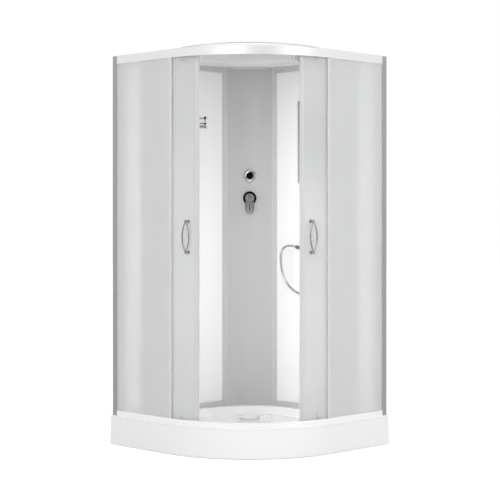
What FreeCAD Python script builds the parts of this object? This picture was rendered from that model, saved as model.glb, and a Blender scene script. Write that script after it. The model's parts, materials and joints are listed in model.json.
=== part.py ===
import FreeCAD, Part
import math
import os

import Sketcher

# Quadrant shower cabin: low tray with a curved apron, two fixed and two curved sliding glass
# doors between a bottom and a top rail, two rear walls with a column panel across the corner,
# a domed roof, and the water fittings.
#
# Every drawing frame has +Z up. The cabin frame has its origin under the centre of the front
# arc, its x axis along the left wall towards the front and its y axis along the right wall.

SIZES = {
    # plan
    "tray_side": 1000,            # length of the tray along each wall
    "corner_radius": 550,         # front arc of the tray
    "frame_inset": 4,             # rails and posts stand this far inside the tray's edge
    "frame_depth": 66,            # from the outer to the inner face of rails and posts
    "post_width": 35,
    "post_setback": 9,            # from the tray's wall edge to the post
    "post_round": 3,
    "wall_gap": 15,               # free space behind the rear walls
    "wall_thickness": 5,
    # heights
    "tray_height": 150,           # floor to the top of the threshold
    "ledge_drop": 20,             # the rear ledge lies this much lower
    "frame_height": 1822,
    "top_rail_height": 40,
    "bottom_rail_height": 25,
    "roof_rise": 66,              # crown of the roof above the frame
    # clearances
    "seam": 0.3,                  # gap between pieces that are only laid together
    "slot_clearance": 0.2,        # beside a panel or a stem in its slot or hole
    "axle_clearance": 0.05,       # radial
    "stem_clearance": 0.1,        # radial, waste cover's stem in its guide
    "wheel_gap": 0.4,             # between a wheel and what stands beside it
    "curve_gap": 0.1,             # flat pad at the hollow side of the door glass
    # tray
    "tray_skin": 5,
    "rim_depth": 10,              # rolled edge above the apron
    "rim_round": 4,
    "skirt_inset": 6,
    "skirt_depth": 38,
    "threshold_width": 70,
    "basin_depth": 40,            # below the rear ledge
    "basin_front_inset": 95,
    "basin_wall_inset": 62,
    "basin_slope": 25,            # side walls lean in by this much
    "basin_back_radius": 300,
    "basin_corner_radius": 60,
    "waste_from_wall": 276,       # centre of the waste, from either wall edge
    "waste_hole_radius": 45,
    "dish_radius": 120,
    "dish_depth": 3,
    "apron_thickness": 3,
    "apron_flare": 3,             # the foot of the apron stands out
    "apron_floor_gap": 4,
    "apron_lip": 12,
    # tray frame and feet
    "tube_side": 25,
    "tube_wall": 1.5,
    "tube_near": 120,             # beam lines, from the wall edges
    "tube_far": 560,
    "tube_long": 900,             # far end of the beams along the walls
    "tube_short": 830,            # far end of the inner beams
    "stud_radius": 6,
    "stud_rise": 16,              # above the tube's underside
    "stud_nut_radius": 10.2,
    "stud_nut_height": 8,
    "pad_radius": 24,
    "pad_height": 14,
    "pad_socket": 6,              # depth of the stud in the pad
    "pad_edge": 5,
    # waste
    "waste_wall": 4,
    "waste_flange_radius": 55,
    "waste_flange": 2,
    "waste_throat_depth": 30,
    "stem_guide_drop": 22,        # ring that guides the cover's stem, below the dish
    "stem_guide_radius": 7,
    "spoke_width": 4,
    "waste_cover_radius": 56,
    "cover_stem_radius": 4,
    "cover_gap": 4,               # water gap under the cover
    "cover_rise": 11,             # middle of the cover above the dish
    "trap_radius": 57,
    "trap_wall": 3,
    "trap_foot": 8,
    "trap_outlet_radius": 20,
    "trap_outlet_height": 28,
    "trap_outlet_length": 60,
    "trap_collar": 3,             # collar at the root of the outlet
    "trap_collar_length": 8,
    # glass and rails
    "glass_thickness": 4,
    "rail_face": 2.8,             # thickness of the face of a rail
    "rail_wall": 1.8,
    "rail_round": 2,
    "rail_lip": 10,               # lip that hangs inside the top rail
    "rail_foot_lip": 6,           # inner edge of the bottom rail
    "slot_wall": 1.6,
    "guide_wall_drop": 5,         # glass slot's inner wall below the bottom rail's top
    "gasket": 1.2,
    "glass_slot": 20,             # depth of the glass slot in a post
    "panel_slot": 15,             # depth of the panel slot in a post
    "fixed_glass_inset": 7,       # outer face of the fixed glass from the tray's edge
    "edge_seal_lap": 10,
    "edge_seal_nose": 1.8,
    "door_inset": 23,             # outer face of a door from the tray's edge
    "track_inset": 43,            # middle of the rollers
    "track_edge_inset": 49,       # inner edge of the roller track
    "track_height": 30,           # top of the track below the top of the frame
    "track_thickness": 2,
    "stopper_gap": 1.2,           # free way left when a door stands open
    "stopper_width": 8,
    "stopper_depth": 16,
    "stopper_height": 17,
    # doors
    "door_top_gap": 5,            # door glass below the top of the track
    "door_floor_gap": 10,         # door glass above the tray
    "door_lap": 3,                # degrees that a door laps behind the fixed glass
    "door_edge_gap": 4,           # closed door glass to the middle of the doorway
    "door_stop": 146.6,           # trailing roller past the end of the arc, door open
    "lead_roller": 11.2,          # degrees from the closed leading edge
    "trail_roller": 33.3,
    "roller_radius": 10.5,
    "guide_radius": 8,
    "roller_width": 6,
    "wheel_bevel": 0.8,
    "axle_radius": 3,
    "axle_head": 1.6,
    "axle_head_radius": 5,
    "shoulder_radius": 5.5,
    "hanger_inset": 60,           # face of the hanger's neck from the tray's edge
    "hanger_thickness": 4.5,
    "hanger_width": 18,
    "hanger_drop": 35,            # foot of the hanger below the glass's top
    "hanger_arm": 10,
    "hanger_above_axle": 7,
    "hanger_clamp": 9,            # depth of the clamp behind the glass
    "hanger_clamp_height": 30,
    "hanger_screw_drop": 13,
    "guide_screw_lift": 30,
    "tongue_below_glass": 5,
    "screw_radius": 4,
    "cap_radius": 7,
    "cap_height": 2.2,
    "strip_width": 19,            # magnetic strip on a door's leading edge
    "strip_thickness": 10,
    "trail_seal": 1.1,
    "trail_seal_lap": 1.2,        # degrees
    "trail_seal_nose": 0.13,      # degrees
    "trail_seal_foot_gap": 16,
    "trail_seal_top_gap": 9,
    "trail_fin": 8,               # fin towards the fixed glass
    "handle_height": 909,         # middle of the handles above the tray
    "handle_length": 163,
    "handle_width": 44,
    "handle_reach": 30,
    "handle_bar": 7,
    "handle_angle": 6.5,          # degrees from the closed leading edge
    "handle_foot_radius": 6.5,
    "handle_foot_sink": 1.5,      # foot ends this far inside the bars
    "handle_washer": 4,
    "handle_washer_radius": 9,
    # rear walls and column
    "profile_height": 28,
    "profile_thickness": 10,
    "back_round": 3,
    "panel_end_gap": 2,
    "panel_behind_column": 20,
    "column_half_width": 120,
    "column_edge": 170,           # edges of the column panel from the rear corner
    "column_sag": 30,             # the middle curves back
    "column_thickness": 4,
    "column_profile_reach": 7,    # panel's edge inside its profile
    "column_profile_front": 8.6,  # profile in front of the panel's edge
    "column_profile_foot": 10,
    # roof
    "roof_skin": 3,
    "roof_front_inset": 8,
    "roof_wall_inset": 6,
    "dome_radius": 410,
    "crown_radius": 2400,
    "knuckle_radius": 30,
    "boss_lift": 12,              # boss above the ball joint's centre
    "boss_height": 12,
    "boss_radius": 20,
    # overhead shower
    "overhead_side": 310,         # to the right of the middle of the cabin
    "overhead_front": 4,          # in front of the arc centre
    "overhead_radius": 95,
    "overhead_tilt": 15,
    "head_edge": 3,
    "head_drop": 20,              # spray face below the ball joint's centre
    "head_rim": 7,
    "ball_height": 26,            # ball joint above the top of the frame
    "ball_radius": 9,
    "ball_neck_radius": 5.5,
    "socket_radius": 14,
    "socket_lip": 2,              # socket reaches past the middle of the ball
    "stem_radius": 8,
    "stem_nut_radius": 13,
    "stem_nut_height": 3.5,
    # mixer and diverter
    "mixer_height": 1262,
    "diverter_rise": 122,         # diverter above the mixer
    "plate_radius": 37.5,
    "plate_depth": 8,
    "neck_radius": 22,
    "neck_show": 4,               # neck in front of its plate
    "spindle_radius": 6,
    "mixer_body_radius": 24,
    "mixer_spindle": 10.5,
    "tap_body_depth": 84.8,       # from the back of the plate to the back of the body
    "tap_body_gap": 10,
    "crossbar_depth": 50,
    "crossbar_radius": 14,
    "inlet_spacing": 76,
    "inlet_radius": 10.48,        # G 1/2 outside thread
    "inlet_collar": 18,           # end of the collar from the crossbar's axis
    "inlet_length": 40,           # end of the thread from the crossbar's axis
    "inlet_tilt": 20,             # degrees that the inlets lean to the rear corner
    "riser_radius": 9,
    "riser_socket_radius": 12,
    "riser_socket_length": 28,
    "lever_ball_radius": 22,
    "lever_ball_lift": 26,        # centre of the cap in front of the plate's back
    "lever_pin_radius": 2.5,
    "lever_shell": 3.2,
    "lever_skirt": 5,             # cap's rim behind its centre
    "lever_drop": 84,
    "lever_width": 46,
    "lever_root": 14,
    "paddle_lift": 3,
    "paddle_thickness": 9,
    "groove_width": 3,
    "groove_depth": 3,
    "diverter_neck_radius": 20,
    "diverter_spindle": 16,
    "knob_radius": 19.5,
    "knob_depth": 22.2,
    "knob_bevel": 3,
    # pipes, hose outlet, hose and handset
    "pipe_radius": 5,
    "pipe_bend": 15,
    "pipe_inset": 30,             # upright pipe in the corner, from either wall edge
    "pipe_below_crown": 6.8,
    "outlet_along": 430,          # from the rear corner along the right wall
    "outlet_height": 992,
    "outlet_flange_radius": 24,
    "outlet_flange": 6,
    "outlet_ball_radius": 13,
    "outlet_reach": 26,
    "outlet_rise": 15,            # degrees that the nozzle points up
    "outlet_swing": 30,           # degrees that the nozzle points to the rear corner
    "hose_radius": 7,
    "hose_nut_radius": 9.5,
    "hose_nut_length": 17,
    "holder_along": 730,
    "holder_height": 1705,
    "holder_reach": 45,
    "holder_pin_radius": 3,
    "pin_reach": 7.3,
    "bracket_foot": 7,
    "bracket_foot_height": 56,
    "bracket_width": 34,
    "bracket_bridge": 8,
    "bracket_height": 18,
    "fork_thickness": 4,
    "clip_radius": 14.2,
    "clip_wall": 4.3,
    "clip_below": 16,
    "clip_above": 14,
    "clip_ear": 22,
    "handset_tilt": 15,
    "handset_tail": 62,
    "handset_rise": 118,
    "handset_neck_radius": 12.5,
    "handset_radius": 42.5,
    "handset_depth": 22,
    "handset_bevel": 5,
    "handset_face": 15,           # spray face in front of the handle's axis
    # mirror and shelf
    "mirror_along": 388,
    "mirror_width": 280,
    "mirror_bottom": 1341,
    "mirror_height": 440,
    "mirror_thickness": 4,
    "clip_length": 18,
    "clip_inset": 50,
    "clip_hook": 6,
    "shelf_along": 450,
    "shelf_width": 300,
    "shelf_reach": 108,
    "shelf_height": 1637,
    "shelf_arm_radius": 5,
    "shelf_arm_inset": 12,
    "shelf_flange_radius": 14,
    "shelf_post_radius": 4.5,
    "shelf_post_height": 53,
    "shelf_rail_radius": 3.5,
    "shelf_low_rail": 14,
    "shelf_high_rail": 42,
    "shelf_glass_thickness": 5,
}


class Size:
    """A number that also knows its formula on the sheet."""

    def __init__(self, value, formula=None):
        self.value = float(value)
        self.formula = formula or repr(float(value))

    def __add__(self, other):
        other = size(other)
        return Size(self.value + other.value, f"({self.formula} + {other.formula})")

    def __sub__(self, other):
        other = size(other)
        return Size(self.value - other.value, f"({self.formula} - {other.formula})")

    def __mul__(self, other):
        other = size(other)
        return Size(self.value * other.value, f"({self.formula} * {other.formula})")

    def __truediv__(self, other):
        other = size(other)
        return Size(self.value / other.value, f"({self.formula} / {other.formula})")

    def __radd__(self, other):
        return size(other) + self

    def __rsub__(self, other):
        return size(other) - self

    def __rmul__(self, other):
        return size(other) * self

    def __neg__(self):
        return size(0) - self


def size(number):
    return number if isinstance(number, Size) else Size(number)


def root(number):
    return Size(math.sqrt(number.value), f"sqrt({number.formula})")


def sine(angle):
    return Size(math.sin(math.radians(angle.value)), f"sin({angle.formula} * 1 deg)")


def cosine(angle):
    return Size(math.cos(math.radians(angle.value)), f"cos({angle.formula} * 1 deg)")


class Sheet:
    """The driving sizes, by name."""

    def __init__(self, document):
        cells = document.addObject("Spreadsheet::Sheet", "Sizes")
        for row, (name, value) in enumerate(SIZES.items(), start=1):
            cells.set(f"A{row}", name)
            cells.set(f"B{row}", str(value))
            cells.setAlias(f"B{row}", name)
            setattr(self, name, Size(value, f"Sizes.{name}"))


doc = FreeCAD.newDocument("ShowerCabin")
d = Sheet(doc)
doc.recompute()

UP = FreeCAD.Vector(0, 0, 1)
NODES = []

# ---- shared places, all worked out from the sheet --------------------------------------------

REACH = d.tray_side - d.corner_radius            # from the arc centre to either wall edge
FRAME_TOP = d.tray_height + d.frame_height
RAIL_BASE = FRAME_TOP - d.top_rail_height
LEDGE = d.tray_height - d.ledge_drop
BASIN_FLOOR = LEDGE - d.basin_depth
WALL_FACE = d.wall_gap + d.wall_thickness
TRACK_TOP = FRAME_TOP - d.track_height
TRACK_UNDER = TRACK_TOP - d.track_thickness
RAIL_FLOOR = d.tray_height + d.track_thickness
GLASS_OUT = d.corner_radius - d.door_inset       # outer radius of a door
GLASS_IN = GLASS_OUT - d.glass_thickness
TRACK_RADIUS = d.corner_radius - d.track_inset
DOOR_FOOT = d.tray_height + d.door_floor_gap
DOOR_TOP = TRACK_TOP - d.door_top_gap
SLOT_LIP = d.fixed_glass_inset + d.glass_thickness + d.gasket
FRAME_BACK = d.frame_inset + d.frame_depth
DIVERTER_HEIGHT = d.mixer_height + d.diverter_rise
ROOT_TWO = math.sqrt(2)

centre_back = (REACH.value * ROOT_TWO - d.corner_radius.value - d.apron_flare.value) / 2
ARC_CENTRE = FreeCAD.Vector(0, -centre_back, 0)
REAR_CORNER = FreeCAD.Vector(0, REACH.value * ROOT_TWO - centre_back, 0)
CABIN = FreeCAD.Placement(ARC_CENTRE, FreeCAD.Rotation(UP, -135))
ARC = FreeCAD.Placement(ARC_CENTRE, FreeCAD.Rotation())
CORNER = FreeCAD.Placement(REAR_CORNER, FreeCAD.Rotation())


# ---- drawing helpers -------------------------------------------------------------------------

def value(number):
    return size(number).value


def bind(thing, field, number):
    """Set a size and tie it to its formula."""
    number = size(number)
    if "Sizes." in number.formula:
        thing.setExpression(field, number.formula)
    elif field.startswith("Constraints") or "." in field:
        pass
    else:
        setattr(thing, field, number.value)


def new_body(name, frame=CABIN):
    body = doc.addObject("PartDesign::Body", name)
    body.Label = name
    body.Placement = frame
    NODES.append(body)
    return body


def part_of(body, role):
    return next(item for item in body.Origin.OriginFeatures if item.Role == role)


def new_sketch(body, name, plane="XY_Plane", lift=0):
    """An empty sketch on an origin plane, moved along the plane's normal by lift."""
    sketch = body.newObject("Sketcher::SketchObject", name)
    sketch.AttachmentSupport = [(part_of(body, plane), "")]
    sketch.MapMode = "FlatFace"
    lift = size(lift)
    sketch.AttachmentOffset = FreeCAD.Placement(UP * lift.value, FreeCAD.Rotation())
    bind(sketch, ".AttachmentOffset.Base.z", lift)
    return sketch


def pin_point(sketch, item, end, point):
    """Fix the end of a line or arc at point, from the sketch's origin."""
    for kind, axis, number in (("DistanceX", -2, point[0]), ("DistanceY", -1, point[1])):
        number = size(number)
        if "Sizes." not in number.formula and number.value == 0:
            sketch.addConstraint(Sketcher.Constraint("PointOnObject", item, end, axis))
            continue
        place = sketch.addConstraint(Sketcher.Constraint(kind, -1, 1, item, end, number.value))
        bind(sketch, f"Constraints[{place}]", number)


def arc_between(start, end, radius):
    """The short arc from start to end; a positive radius turns left."""
    chord = end - start
    across = FreeCAD.Vector(-chord.y, chord.x, 0)
    across.normalize()
    rise = math.sqrt(max(radius * radius - chord.Length ** 2 / 4, 0))
    centre = (start + end) * 0.5 + across * math.copysign(rise, radius)
    first, last = (start, end) if radius > 0 else (end, start)
    angles = [math.atan2(p.y - centre.y, p.x - centre.x) for p in (first, last)]
    if angles[1] < angles[0]:
        angles[1] += 2 * math.pi
    return Part.ArcOfCircle(Part.Circle(centre, UP, abs(radius)), angles[0], angles[1])


def outline(sketch, points):
    """A closed outline. Each point is (x, y), or (x, y, radius) where an arc leaves it."""
    spots = [FreeCAD.Vector(value(p[0]), value(p[1]), 0) for p in points]
    ends = []
    for k, point in enumerate(points):
        after = spots[(k + 1) % len(spots)]
        if len(point) == 2:
            item = sketch.addGeometry(Part.LineSegment(spots[k], after))
            ends.append((item, 1, 2))
        else:
            radius = size(point[2])
            item = sketch.addGeometry(arc_between(spots[k], after, radius.value))
            ends.append((item, 1, 2) if radius.value > 0 else (item, 2, 1))
            place = sketch.addConstraint(Sketcher.Constraint("Radius", item, abs(radius.value)))
            bind(sketch, f"Constraints[{place}]", radius if radius.value > 0 else -radius)
    for k, (item, first, last) in enumerate(ends):
        following = ends[(k + 1) % len(ends)]
        sketch.addConstraint(
            Sketcher.Constraint("Coincident", item, last, following[0], following[1]))
        pin_point(sketch, item, first, points[k])


def ring(sketch, x, y, radius):
    centre = FreeCAD.Vector(value(x), value(y), 0)
    item = sketch.addGeometry(Part.Circle(centre, UP, value(radius)))
    pin_point(sketch, item, 3, (x, y))
    place = sketch.addConstraint(Sketcher.Constraint("Radius", item, value(radius)))
    bind(sketch, f"Constraints[{place}]", radius)


def pad(body, sketch, length, backwards=False, midplane=False):
    feature = body.newObject("PartDesign::Pad", "Pad")
    feature.Profile = sketch
    bind(feature, "Length", length)
    feature.Reversed = backwards
    feature.Midplane = midplane
    return feature


def pocket(body, sketch, length, backwards=False, midplane=False):
    feature = body.newObject("PartDesign::Pocket", "Pocket")
    feature.Profile = sketch
    bind(feature, "Length", length)
    feature.Reversed = backwards
    feature.Midplane = midplane
    return feature


def turned(body, points, cut=False):
    """A turned shape about Z: points are (radius, height) in the XZ plane."""
    sketch = new_sketch(body, "Turning", "XZ_Plane")
    outline(sketch, points)
    kind = "PartDesign::Groove" if cut else "PartDesign::Revolution"
    feature = body.newObject(kind, "Turned")
    feature.Profile = sketch
    feature.ReferenceAxis = (sketch, ["V_Axis"])
    feature.Angle = 360
    return feature


def tube_along(points, bends, radius):
    """A round bar along straight runs joined by tangent arcs of the given radii."""
    corners = [FreeCAD.Vector(*p) for p in points]
    edges = []
    start = corners[0]
    for k in range(1, len(corners) - 1):
        back = (corners[k - 1] - corners[k]).normalize()
        on = (corners[k + 1] - corners[k]).normalize()
        half = back.getAngle(on) / 2
        cut = bends[k - 1] / math.tan(half)
        first = corners[k] + back * cut
        last = corners[k] + on * cut
        inward = (back + on).normalize()
        middle = corners[k] + inward * (bends[k - 1] / math.sin(half) - bends[k - 1])
        if (first - start).Length > 1e-6:
            edges.append(Part.LineSegment(start, first).toShape())
        edges.append(Part.Arc(first, middle, last).toShape())
        start = last
    edges.append(Part.LineSegment(start, corners[-1]).toShape())
    path = Part.Wire(edges)
    heading = corners[1] - corners[0]
    section = Part.Wire([Part.makeCircle(radius, corners[0], heading)])
    return path.makePipeShell([section], True, False)


def add_shape(name, shape, frame=CABIN):
    thing = doc.addObject("Part::Feature", name)
    thing.Shape = shape
    thing.Label = name
    thing.Placement = frame
    NODES.append(thing)
    return thing


def plank(name, points, low, high, frame=CABIN, holes=()):
    """A body with one upright outline between two heights."""
    body = new_body(name, frame)
    sketch = new_sketch(body, "Outline", "XY_Plane", low)
    outline(sketch, points)
    for hole in holes:
        outline(sketch, hole)
    pad(body, sketch, size(high) - low)
    return body


def take_out(things):
    """Pieces that become part of another piece are no nodes themselves."""
    for thing in things:
        if thing in NODES:
            NODES.remove(thing)


def group(name, things):
    """Separate solids that share one node."""
    take_out(things)
    bundle = doc.addObject("Part::Compound", name)
    bundle.Label = name
    bundle.Links = things
    NODES.append(bundle)
    return bundle


def fused(name, things, frame=FreeCAD.Placement()):
    take_out(things)
    joined = doc.addObject("Part::MultiFuse", name)
    joined.Label = name
    joined.Shapes = things
    joined.Placement = frame
    NODES.append(joined)
    return joined


def drilled(name, blank, tools, frame):
    """The blank less its holes."""
    take_out([blank] + tools)
    holes = doc.addObject("Part::Compound", name + "_holes")
    holes.Links = tools
    piece = doc.addObject("Part::Cut", name)
    piece.Label = name
    piece.Base = blank
    piece.Tool = holes
    piece.Placement = frame
    NODES.append(piece)
    return piece


def mirrored(name, source):
    """The same piece on the other side of the cabin."""
    piece = doc.addObject("Part::Mirroring", name)
    piece.Label = name
    piece.Source = source
    piece.Normal = FreeCAD.Vector(1, 0, 0)
    NODES.append(piece)
    return piece


def rod(name, radius, length, start=(0, 0, 0), along=(0, 0, 1)):
    """A plain cylinder, kept out of the list of nodes."""
    piece = doc.addObject("Part::Cylinder", name)
    bind(piece, "Radius", radius)
    bind(piece, "Height", length)
    base = FreeCAD.Vector(*[value(number) for number in start])
    turn = FreeCAD.Rotation(UP, FreeCAD.Vector(*[value(number) for number in along]))
    piece.Placement = FreeCAD.Placement(base, turn)
    return piece


def block(name, sizes, start):
    """A plain box, kept out of the list of nodes."""
    piece = doc.addObject("Part::Box", name)
    for field, number in zip(("Length", "Width", "Height"), sizes):
        bind(piece, field, number)
    piece.Placement.Base = FreeCAD.Vector(*[value(number) for number in start])
    return piece


def swept(body, points, start):
    """A section swept along the front: down one side, round the arc and up the other."""
    section = new_sketch(body, "Section", "XZ_Plane", REACH - start)
    outline(section, [(d.corner_radius - p[0],) + tuple(p[1:]) for p in points])
    path = new_sketch(body, "Path")
    edge = d.corner_radius
    lines = [((edge, start - REACH), (edge, 0)), ((0, edge), (start - REACH, edge))]
    for first, last in lines:
        item = path.addGeometry(Part.LineSegment(
            FreeCAD.Vector(value(first[0]), value(first[1]), 0),
            FreeCAD.Vector(value(last[0]), value(last[1]), 0)))
        pin_point(path, item, 1, first)
        pin_point(path, item, 2, last)
    bow = path.addGeometry(Part.ArcOfCircle(
        Part.Circle(FreeCAD.Vector(), UP, edge.value), 0, math.pi / 2))
    path.addConstraint(Sketcher.Constraint("Coincident", 0, 2, bow, 1))
    path.addConstraint(Sketcher.Constraint("Coincident", bow, 2, 1, 1))
    path.addConstraint(Sketcher.Constraint("PointOnObject", bow, 3, -1))
    pipe = body.newObject("PartDesign::AdditivePipe", "Sweep")
    pipe.Profile = section
    pipe.Spine = path
    return pipe


def quadrant(front, wall):
    """Outline of the cabin, drawn in from its front and from its walls."""
    edge = d.corner_radius - front
    back = size(wall) - REACH
    return [(edge, back), (edge, 0, edge), (0, edge), (back, edge), (back, back)]


# ---- tray ------------------------------------------------------------------------------------

def basin(grow):
    """Outline of the basin, grown outwards."""
    low = d.basin_wall_inset - grow - REACH
    front = d.corner_radius - d.basin_front_inset + grow
    back = d.basin_back_radius + grow
    corner = d.basin_corner_radius + grow
    return [(low + back, low), (front - corner, low, corner), (front, low + corner),
            (front, 0, front), (0, front), (low + corner, front, corner), (low, front - corner),
            (low, low + back, back)]


def loft(body, kind, top, foot, grow):
    """The basin's space, or the shell around it, between its mouth and its floor."""
    sections = []
    for name, lift, inset in (("Mouth", top, 0), ("Floor", foot, d.basin_slope)):
        sketch = new_sketch(body, name, "XY_Plane", lift)
        outline(sketch, basin(size(grow) - inset))
        sections.append(sketch)
    feature = body.newObject(kind, "Bowl")
    feature.Profile = sections[0]
    feature.Sections = sections[1:]
    return feature


def make_tray():
    body = new_body("tray")
    top = d.tray_height
    skin = d.tray_skin
    wide = d.threshold_width
    bend = d.rim_round
    foot = top - d.skirt_depth
    behind = d.skirt_inset + skin
    swept(body, [
        (0, top - d.rim_depth), (0, top - bend, bend), (bend, top), (wide - bend, top, bend),
        (wide, top - bend), (wide, LEDGE - skin), (wide - skin, LEDGE - skin),
        (wide - skin, top - skin), (behind, top - skin), (behind, foot), (d.skirt_inset, foot),
        (d.skirt_inset, top - d.rim_depth)], 0)
    plate = new_sketch(body, "Plate", "XY_Plane", LEDGE - skin)
    outline(plate, quadrant(wide - skin, 0))
    pad(body, plate, skin)
    skirt = new_sketch(body, "RearSkirt", "XY_Plane", foot)
    far = d.corner_radius - wide
    edge = -REACH
    outline(skirt, [(edge, edge), (far, edge), (far, edge + skin), (edge + skin, edge + skin),
                    (edge + skin, far), (edge, far)])
    pad(body, skirt, LEDGE - foot)
    loft(body, "PartDesign::AdditiveLoft", LEDGE, BASIN_FLOOR - skin, skin)
    place = d.waste_from_wall - REACH
    boss = new_sketch(body, "DishBoss", "XY_Plane", BASIN_FLOOR - skin - d.dish_depth)
    ring(boss, place, place, d.dish_radius + skin)
    pad(body, boss, skin)
    loft(body, "PartDesign::SubtractiveLoft", LEDGE, BASIN_FLOOR, 0)
    dish = new_sketch(body, "Dish", "XY_Plane", BASIN_FLOOR)
    ring(dish, place, place, d.dish_radius)
    pocket(body, dish, d.dish_depth)
    hole = new_sketch(body, "WasteHole", "XY_Plane", BASIN_FLOOR)
    ring(hole, place, place, d.waste_hole_radius)
    pocket(body, hole, 2 * skin + d.dish_depth)


def make_apron():
    """Apron with a hook under the tray's rim and a lip along its foot."""
    body = new_body("tray_apron")
    top = d.tray_height - d.rim_depth - d.seam
    skin = d.apron_thickness
    foot = d.apron_floor_gap
    hook = d.skirt_inset - d.seam
    swept(body, [
        (-d.apron_flare, foot), (0, top), (hook, top), (hook, top - skin), (skin, top - skin),
        (skin - d.apron_flare, foot + skin), (d.apron_lip, foot + skin), (d.apron_lip, foot)], 0)


TUBE_TOP = BASIN_FLOOR - d.tray_skin
TUBE_FOOT = TUBE_TOP - d.tube_side


def feet():
    """Places of the six feet on the beams, in the cabin frame."""
    near = d.tube_near - REACH
    far = d.tube_far - REACH
    end = d.tube_short - d.tube_side - REACH
    long_end = d.tube_long - d.tube_side - REACH
    return [(near, near), (long_end, near), (near, long_end), (far, far), (end, far), (far, end)]


def make_tray_frame():
    """Square steel tubes welded into a grid under the tray."""
    side = d.tube_side
    skin = d.tube_wall
    inner = side - 2 * skin
    start = d.tube_near / 2 - REACH
    beams = []
    bores = []
    for line, far in ((d.tube_near, d.tube_long), (d.tube_far, d.tube_short)):
        run = far - d.tube_near / 2
        across = line - side / 2 - REACH
        beams.append(block("Beam", (run, side, side), (start, across, TUBE_FOOT)))
        beams.append(block("Beam", (side, run, side), (across, start, TUBE_FOOT)))
        bores.append(block("Bore", (run, inner, inner), (start, across + skin, TUBE_FOOT + skin)))
        bores.append(block("Bore", (inner, run, inner), (across + skin, start, TUBE_FOOT + skin)))
    grid = fused("tray_frame_grid", beams)
    studs = [rod("StudHole", d.stud_radius, side, (x, y, TUBE_FOOT - skin)) for x, y in feet()]
    hollow = fused("tray_frame_bores", bores + studs)
    drilled("tray_frame", grid, [hollow], CABIN)


def make_feet():
    """Threaded studs with a nut under the tube, on plastic pads."""
    thread = d.stud_radius
    nut = d.stud_nut_radius
    socket = d.pad_height - d.pad_socket
    wide = d.pad_radius
    edge = d.pad_edge
    top = TUBE_FOOT + d.stud_rise
    studs = []
    pads = []
    for x, y in feet():
        spot = FreeCAD.Placement(FreeCAD.Vector(value(x), value(y), 0), FreeCAD.Rotation())
        stud = new_body("Stud", CABIN.multiply(spot))
        turned(stud, [(0, socket), (thread, socket), (thread, TUBE_FOOT - d.stud_nut_height),
                      (nut, TUBE_FOOT - d.stud_nut_height), (nut, TUBE_FOOT), (thread, TUBE_FOOT),
                      (thread, top), (0, top)])
        studs.append(stud)
        foot = new_body("Pad", CABIN.multiply(spot))
        turned(foot, [(0, 0), (wide - 2, 0, 2), (wide, 2), (wide, edge), (nut, d.pad_height),
                      (thread, d.pad_height), (thread, socket), (0, socket)])
        pads.append(foot)
    group("foot_studs", studs)
    group("foot_pads", pads)


# ---- waste -----------------------------------------------------------------------------------

WASTE_SEAT = BASIN_FLOOR - d.dish_depth
WASTE_THROAT = d.waste_hole_radius - 1


def waste_frame():
    """At the middle of the waste."""
    place = (d.waste_from_wall - REACH).value
    return CABIN.multiply(FreeCAD.Placement(FreeCAD.Vector(place, place, 0), FreeCAD.Rotation()))


def make_waste_body():
    """Flanged throat with a ring on spokes that guides the cover's stem."""
    body = new_body("waste_body", waste_frame())
    throat = WASTE_THROAT
    inner = throat - d.waste_wall
    flange = d.waste_flange_radius
    thick = d.waste_flange
    foot = WASTE_SEAT - d.waste_throat_depth
    turned(body, [(inner, foot), (throat, foot), (throat, WASTE_SEAT), (flange, WASTE_SEAT),
                  (flange, WASTE_SEAT + thick / 2), (flange - 3, WASTE_SEAT + thick),
                  (inner, WASTE_SEAT + thick)])
    level = WASTE_SEAT - d.stem_guide_drop
    collar = d.stem_guide_radius
    guide = new_sketch(body, "Guide", "XY_Plane", level)
    ring(guide, 0, 0, collar)
    ring(guide, 0, 0, d.cover_stem_radius + d.stem_clearance)
    pad(body, guide, 2 * d.spoke_width)
    half = d.spoke_width / 2
    for turn in (False, True):
        arm = new_sketch(body, "Spoke", "XY_Plane", level)
        for side in (-1, 1):
            near = side * (collar - half)
            far = side * (throat - half)
            box = [(near, -half), (far, -half), (far, half), (near, half)]
            outline(arm, [(y, x) for x, y in box] if turn else box)
        pad(body, arm, d.spoke_width)


def make_waste_trap():
    """Shallow trap whose outlet points under the tray to the left wall."""
    trap = new_body("waste_trap", waste_frame())
    under = WASTE_SEAT - d.tray_skin
    wide = d.trap_radius
    skin = d.trap_wall
    foot = d.trap_foot
    mouth = WASTE_THROAT + d.seam
    turned(trap, [(0, foot), (wide - 4, foot, 4), (wide, foot + 4), (wide, under), (mouth, under),
                  (mouth, under - skin), (wide - skin, under - skin), (wide - skin, foot + skin + 2),
                  (wide - skin - 2, foot + skin), (0, foot + skin)])
    for name, radius, length in (
            ("Outlet", d.trap_outlet_radius, d.trap_outlet_length),
            ("Collar", d.trap_outlet_radius + d.trap_collar, d.trap_collar_length)):
        pipe = new_sketch(trap, name, "XZ_Plane", wide - skin)
        ring(pipe, 0, d.trap_outlet_height, radius)
        pad(trap, pipe, length)
    bore = new_sketch(trap, "OutletBore", "XZ_Plane", wide - 3 * skin)
    ring(bore, 0, d.trap_outlet_height, d.trap_outlet_radius - skin)
    pocket(trap, bore, d.trap_outlet_length + 3 * skin, backwards=True)


def make_waste_cover():
    cover = new_body("waste_cover", waste_frame())
    wide = d.waste_cover_radius
    stem = d.cover_stem_radius
    foot = WASTE_SEAT - d.stem_guide_drop - 2
    low = WASTE_SEAT + d.cover_gap
    top = WASTE_SEAT + d.cover_rise
    turned(cover, [(0, foot), (stem - 1, foot), (stem, foot + 1), (stem, low), (wide - 8, low),
                   (wide, low + 1), (wide - 2, top - 3), (wide / 2, top - 0.5), (0, top)])


# ---- posts, rails and fixed glass ------------------------------------------------------------

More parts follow.
